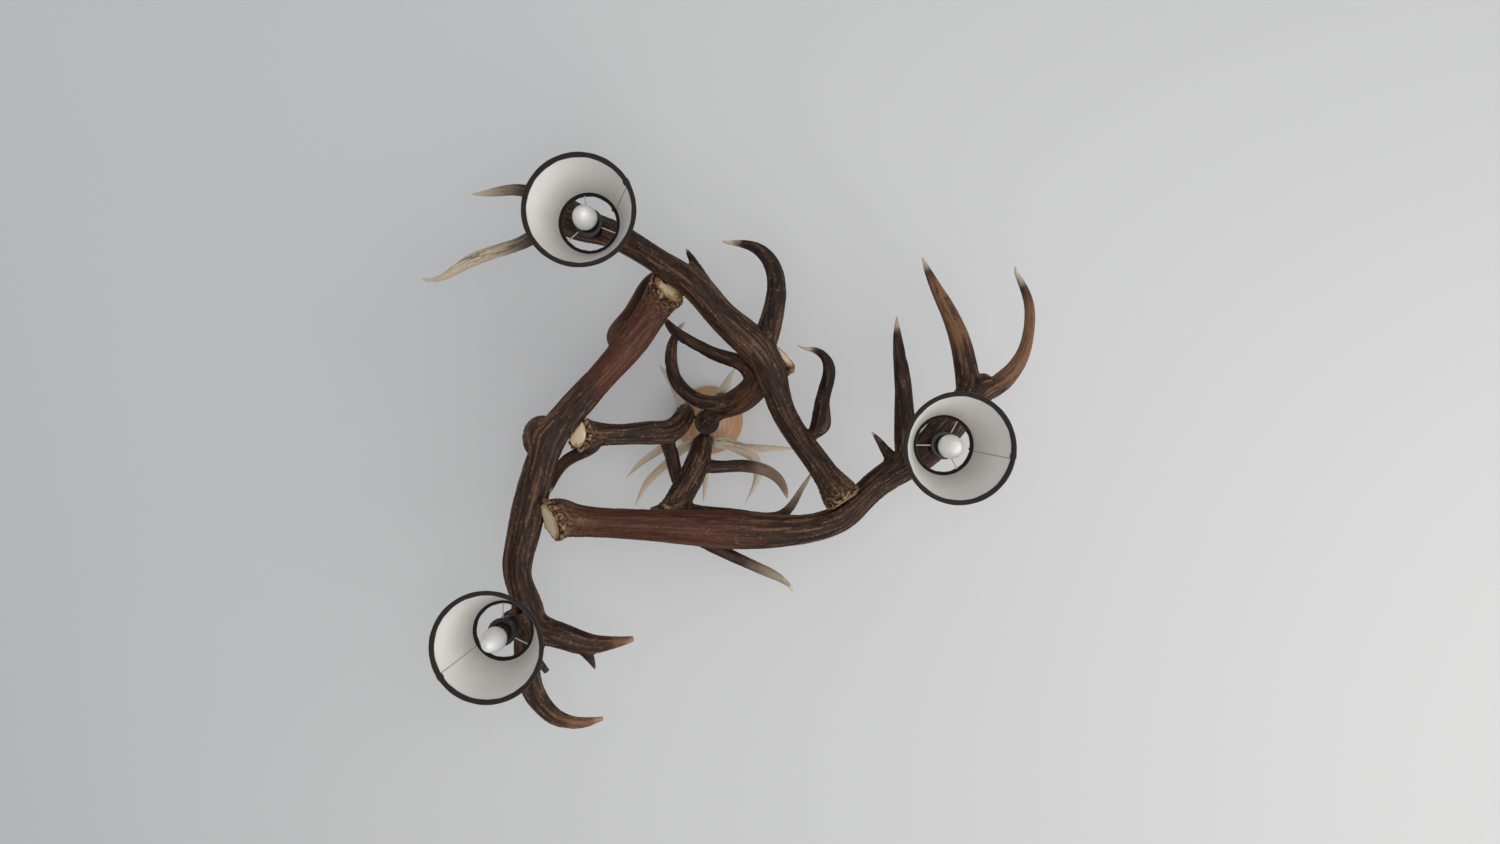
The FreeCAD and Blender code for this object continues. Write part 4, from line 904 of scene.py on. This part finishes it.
def dress_carried_over():
    """Finishes of the nodes whose solids already have the real shape."""
    finishes = {
        zinc_plate(): ["ceiling_bracket", "terminal_screws", *one_per_lamp("lamp_nipple"),
                       *one_per_lamp("nipple_nut")],
        black_zinc_plate(): ["rod_washers", "rod_nuts", "ring_dowels", "upper_dowels"],
        moulded_urea(): ["terminal_block"],
        forged_black_steel(): ["ceiling_hook", "hanging_link", "hanging_eye", "hub_screws"],
        blacked_turned_steel(): ["centre_hub"],
        moulded_phenolic(): one_per_lamp("holder_cap"),
        nickel_plate(): one_per_lamp("bulb_cap"),
        aged_brass(): one_per_lamp("holder_contact"),
        white_wire(): one_per_lamp("shade_spider") + one_per_lamp("shade_bottom_wire"),
    }
    for surface, nodes in finishes.items():
        for node in nodes:
            mesh = frame["nodes"][node]
            mesh.data.materials.clear()
            mesh.data.materials.append(surface)
    for node in ("ceiling_bracket", "rod_washers", "rod_nuts", "terminal_block", "centre_hub",
                 "hub_screws"):
        soften_edges(node)


# ------------------------ lamps

HOLDER_RADIUS = 13.5
FLANGE_RADIUS = 17
FLANGE_RIB_DEPTH = 0.3
NOSE_RADIUS = 13.45
NOSE_PITCH = 2.6                    # mm, coarse moulded thread that the ring screws on
NOSE_THREAD_DEPTH = 0.5


def dress_holder(number, surface):
    """Lampholder: plain waist, ribbed flange, and a coarse moulded thread on its nose."""
    top = HOLDER_LENGTH - 10
    cap_foot = HOLDER_LENGTH - 17.1
    flange_top = HOLDER_LENGTH - 42
    flange_foot = flange_top - 2.5
    rows, ribs = 64, 36
    outline = [(3.4, top), (12.6, top), (12.6, cap_foot), (13.1, cap_foot - 0.2),
               (HOLDER_RADIUS, cap_foot - 1)]
    outline += [(HOLDER_RADIUS, flange_top + 0.6), (14.2, flange_top), (16.5, flange_top),
                (FLANGE_RADIUS, flange_top - 0.5), (FLANGE_RADIUS, flange_foot + 0.5),
                (16.5, flange_foot), (HOLDER_RADIUS, flange_foot)]
    outline += [(NOSE_RADIUS, flange_foot - (flange_foot - 1) * row / rows) for row in range(1, rows)]
    outline += [(13.1, 0.5), (12.6, 0), (8.4, 0), (8, 0.4), (8, 36), (3.4, 36)]

    def moulded(radius, height, angle):
        if radius == NOSE_RADIUS:
            turn = (height / NOSE_PITCH - angle / math.tau) % 1
            return radius - NOSE_THREAD_DEPTH * (0.5 - 0.5 * math.cos(turn * math.tau)), height
        if radius == FLANGE_RADIUS:
            return radius - FLANGE_RIB_DEPTH * (0.5 - 0.5 * math.cos(angle * ribs)), height
        return radius, height

    mesh = lathe("holder", outline, joint_place("bulb_turn_%d" % number), 144, moulded)
    new_piece("threaded_holder_%d" % number, mesh, "antler_frame", [surface],
              ["holder_body_%d" % number])


def dress_ring(number, surface):
    """Shade ring with finger grooves round its edge."""
    grooves, groove_depth = 24, 0.7
    low, high = ring_heights(number)
    outline = eased([(13.8, high), (20.4, high), (21.5, high - 1.4), (21.5, low + 1.4), (20.4, low),
                     (13.8, low)], 0.4)

    def grip(radius, height, angle):
        if radius < 20.3:
            return radius, height
        return radius - groove_depth * max(0, math.cos(angle * grooves)) ** 4, height

    mesh = lathe("ring", outline, joint_place("bulb_turn_%d" % number), grooves * 10, grip)
    new_piece("grooved_ring_%d" % number, mesh, "ring_%d" % number, [surface],
              ["shade_ring_%d" % number])


def ring_heights(number):
    """Foot and top of the shade ring above the holder's mouth, in mm, read from its solid."""
    inverse = joint_place("bulb_turn_%d" % number).inverted()
    solid = frame["nodes"]["shade_ring_%d" % number].data
    heights = [(inverse @ vertex.co).z / MM for vertex in solid.vertices]
    return min(heights), max(heights)


BULB_RADIUS = 18
BULB_LENGTH = 75


def dress_bulb(number, surface):
    """Candle bulb of opal glass, from its neck at the holder's mouth to its round tip."""
    shares = [(6.9 / BULB_RADIUS, 0), (0.62, 0.11), (0.93, 0.3), (1, 0.46), (0.86, 0.68), (0.5, 0.9)]
    points = [(BULB_RADIUS * width, -0.1 - BULB_LENGTH * drop) for width, drop in shares]
    outside = curve_through(points + [(0, -0.1 - BULB_LENGTH)], 8)
    outline = [(0, -0.1), (5.6, -0.1)] + outside[:-1] + [(0, outside[-1][1])]
    mesh = lathe("bulb", outline, joint_place("bulb_turn_%d" % number), 96, closed=False)
    new_piece("opal_bulb_%d" % number, mesh, "bulb_%d" % number, [surface],
              ["bulb_glass_%d" % number])


SHADE_TOP_RADIUS = 46
SHADE_BOTTOM_RADIUS = 80
SHADE_HEIGHT = 126
SHADE_TOP = 9                       # mm above the clamped ring
SHADE_WALL = 1.2
HEM_HEIGHT = 6
TUCK = 0.6                          # mm of cloth under each edge tape
LAP = (-5, 0)                       # degrees from the seam, where the cloth lies double
LAP_RISE = 0.45                     # mm, by which the lap stands proud
PAINTED_SEAM_SHADOW = (-0.2, 0.4)             # degrees from the seam, where the lining gets a grey line painted as the shadow of its overlap's edge
COVER_WAVES = ((0.22, 3, 1), (0.12, 7, 2))  # height in mm, count round the shade, phase by number
SEAM_HEADING = {1: -28, 2: 11, 3: 150}  # degrees, where each shade's seam runs


def shade_radius(height):
    """Outside radius of the shade at a height above its clamped ring, in mm."""
    widening = SHADE_BOTTOM_RADIUS - SHADE_TOP_RADIUS
    return SHADE_TOP_RADIUS + (SHADE_TOP - height) * widening / SHADE_HEIGHT


def seam_angles(steps):
    """Angles round the shade, in degrees from its seam, closer together at the overlap."""
    fine = [-6, -5.4, -4.8, -3, -1.5, -0.35, 0, 0.35, 1.2]
    first, last = 2, 353
    return fine + [first + (last - first) * step / steps for step in range(steps + 1)]


def unevenness(waves, angle, number):
    """Height in mm of the waves round a shade at an angle."""
    return sum(height * math.sin(count * angle + phase * number) for height, count, phase in waves)


def covers(span, degrees):
    """Whether an angle lies in a span."""
    return span[0] <= degrees <= span[1]


def round_axis(place, radius, angle, height):
    """A point at a radius, an angle and a height about a joint's axis."""
    return place @ (Vector((radius * math.cos(angle), radius * math.sin(angle), height)) * MM)


def dress_cover(number, outside, inside):
    """Cloth on its white lining: one lapped seam with a painted shadow line on the lining, and slight
    waves in the stiffened cloth.
    """
    high = SHADE_TOP - HEM_HEIGHT + TUCK
    low = SHADE_TOP - SHADE_HEIGHT + HEM_HEIGHT - TUCK
    place = joint_place("shade_turn_%d" % number)
    angles = seam_angles(150)
    rows = 28
    verts, faces, sides, weave, seam = [], [], [], [], []
    for wall in (0, 1):
        for row in range(rows + 1):
            height = high + (low - high) * row / rows
            for degrees in angles:
                angle = math.radians(degrees + SEAM_HEADING[number])
                wave = unevenness(COVER_WAVES, angle, number) * math.sin(math.pi * row / rows)
                lap = LAP_RISE if covers(LAP, degrees) else 0
                radius = shade_radius(height) + wave + (lap if wall == 0 else -SHADE_WALL - lap * 0.6)
                verts.append(round_axis(place, radius, angle, height))
                weave.append((math.radians(degrees) * shade_radius(height), height, 0))
                # seam: 1 on the lining where the painted shadow of its overlap edge lies
                seam.append(1.0 if wall == 1 and covers(PAINTED_SEAM_SHADOW, degrees) else 0.0)
    count = len(angles)
    shell = (rows + 1) * count
    for row in range(rows):
        for step in range(count):
            following = (step + 1) % count
            corners = [row * count + step, row * count + following,
                       (row + 1) * count + following, (row + 1) * count + step]
            faces += [corners, [shell + corner for corner in reversed(corners)]]
            sides += [0, 1]
    for row in (0, rows):
        for step in range(count):
            following = (step + 1) % count
            near, far = row * count + step, row * count + following
            faces.append([near, far, shell + far, shell + near])
            sides.append(0)
    mesh = bpy.data.meshes.new("cover")
    mesh.from_pydata(verts, [], faces)
    mesh.polygons.foreach_set("material_index", sides)
    keep_field(mesh, "weave", weave)
    # the seam field carries the painted overlap shadow to the lining's material
    keep_field(mesh, "seam", seam)
    face_outwards(mesh)
    smooth(mesh, 50)
    new_piece("shade_cloth_%d" % number, mesh, "shade_%d" % number, [outside, inside],
              ["shade_cover_%d" % number])


TAPE_HALF_WIDTH = 2.5
TAPE_LAP_RISE = 0.7
TAPE_WAVES = ((0.1, 11, 1), (0.07, 23, 0))
TAPE_FOLD = {"top": 2.1, "bottom": 1.8}  # how much thicker the roll is on its inside
TAPE_SQUARENESS = 0.8               # 1 is an oval roll, less is squarer
TAPE_ROLL = 2.6                     # mm, radius that the tape's threads are measured on
TAPE_LEAN = 0.27                    # the shade's slant: 34 mm outwards on 126 mm down


def squared(share):
    """A sine or cosine that makes the roll squarer than an oval."""
    return math.copysign(abs(share) ** TAPE_SQUARENESS, share)


def dress_hem(number, edge, surface):
    """Rolled tape edge: an oval roll round the rim, a little uneven, lapped at the seam.  The tape
    is thicker on the inside, where its fold lies."""
    middle = SHADE_TOP - HEM_HEIGHT / 2
    if edge == "bottom":
        middle -= SHADE_HEIGHT - HEM_HEIGHT
    bend = shade_radius(middle) - SHADE_WALL / 2
    place = joint_place("shade_turn_%d" % number)
    angles = seam_angles(180)
    around = 14
    verts, faces, weave = [], [], []
    for degrees in angles:
        angle = math.radians(degrees + SEAM_HEADING[number])
        lap = TAPE_LAP_RISE if covers(LAP, degrees) else 0
        puff = unevenness(TAPE_WAVES, angle, number)
        wide = TAPE_HALF_WIDTH + lap + puff
        tall = HEM_HEIGHT / 2 + lap * 0.3 + puff * 0.5
        for step in range(around):
            turn = math.tau * step / around
            out = squared(math.cos(turn)) * wide
            out *= 1 if out > 0 else TAPE_FOLD[edge]
            rise = squared(math.sin(turn)) * tall
            radius = bend + out - rise * TAPE_LEAN
            verts.append(round_axis(place, radius, angle, middle + rise))
            weave.append((math.radians(degrees) * bend, turn * TAPE_ROLL, 0))
    count = len(angles)
    for index in range(count):
        for step in range(around):
            here, there = index * around, (index + 1) % count * around
            following = (step + 1) % around
            faces.append([here + step, here + following, there + following, there + step])
    mesh = bpy.data.meshes.new("hem")
    mesh.from_pydata(verts, [], faces)
    keep_field(mesh, "weave", weave)
    face_outwards(mesh)
    smooth(mesh, 60)
    new_piece("rolled_%s_edge_%d" % (edge, number), mesh, "shade_%d" % number, [surface],
              ["shade_%s_hem_%d" % (edge, number)])


def dress_lamps():
    """Holder, ring, bulb and shade of all three lamps."""
    phenolic = moulded_phenolic()
    glass = opal_glass()
    cloth, lining, tape = brown_shade_cotton(), shade_lining(), dark_edge_tape()
    for number in LAMPS:
        dress_holder(number, phenolic)
        dress_ring(number, phenolic)
        dress_bulb(number, glass)
        dress_cover(number, cloth, lining)
        dress_hem(number, "top", tape)
        dress_hem(number, "bottom", tape)


make_camera()
make_stage()
dress_canopy()
dress_collar()
dress_rod()
dress_carried_over()
dress_lamps()
dress_antlers()
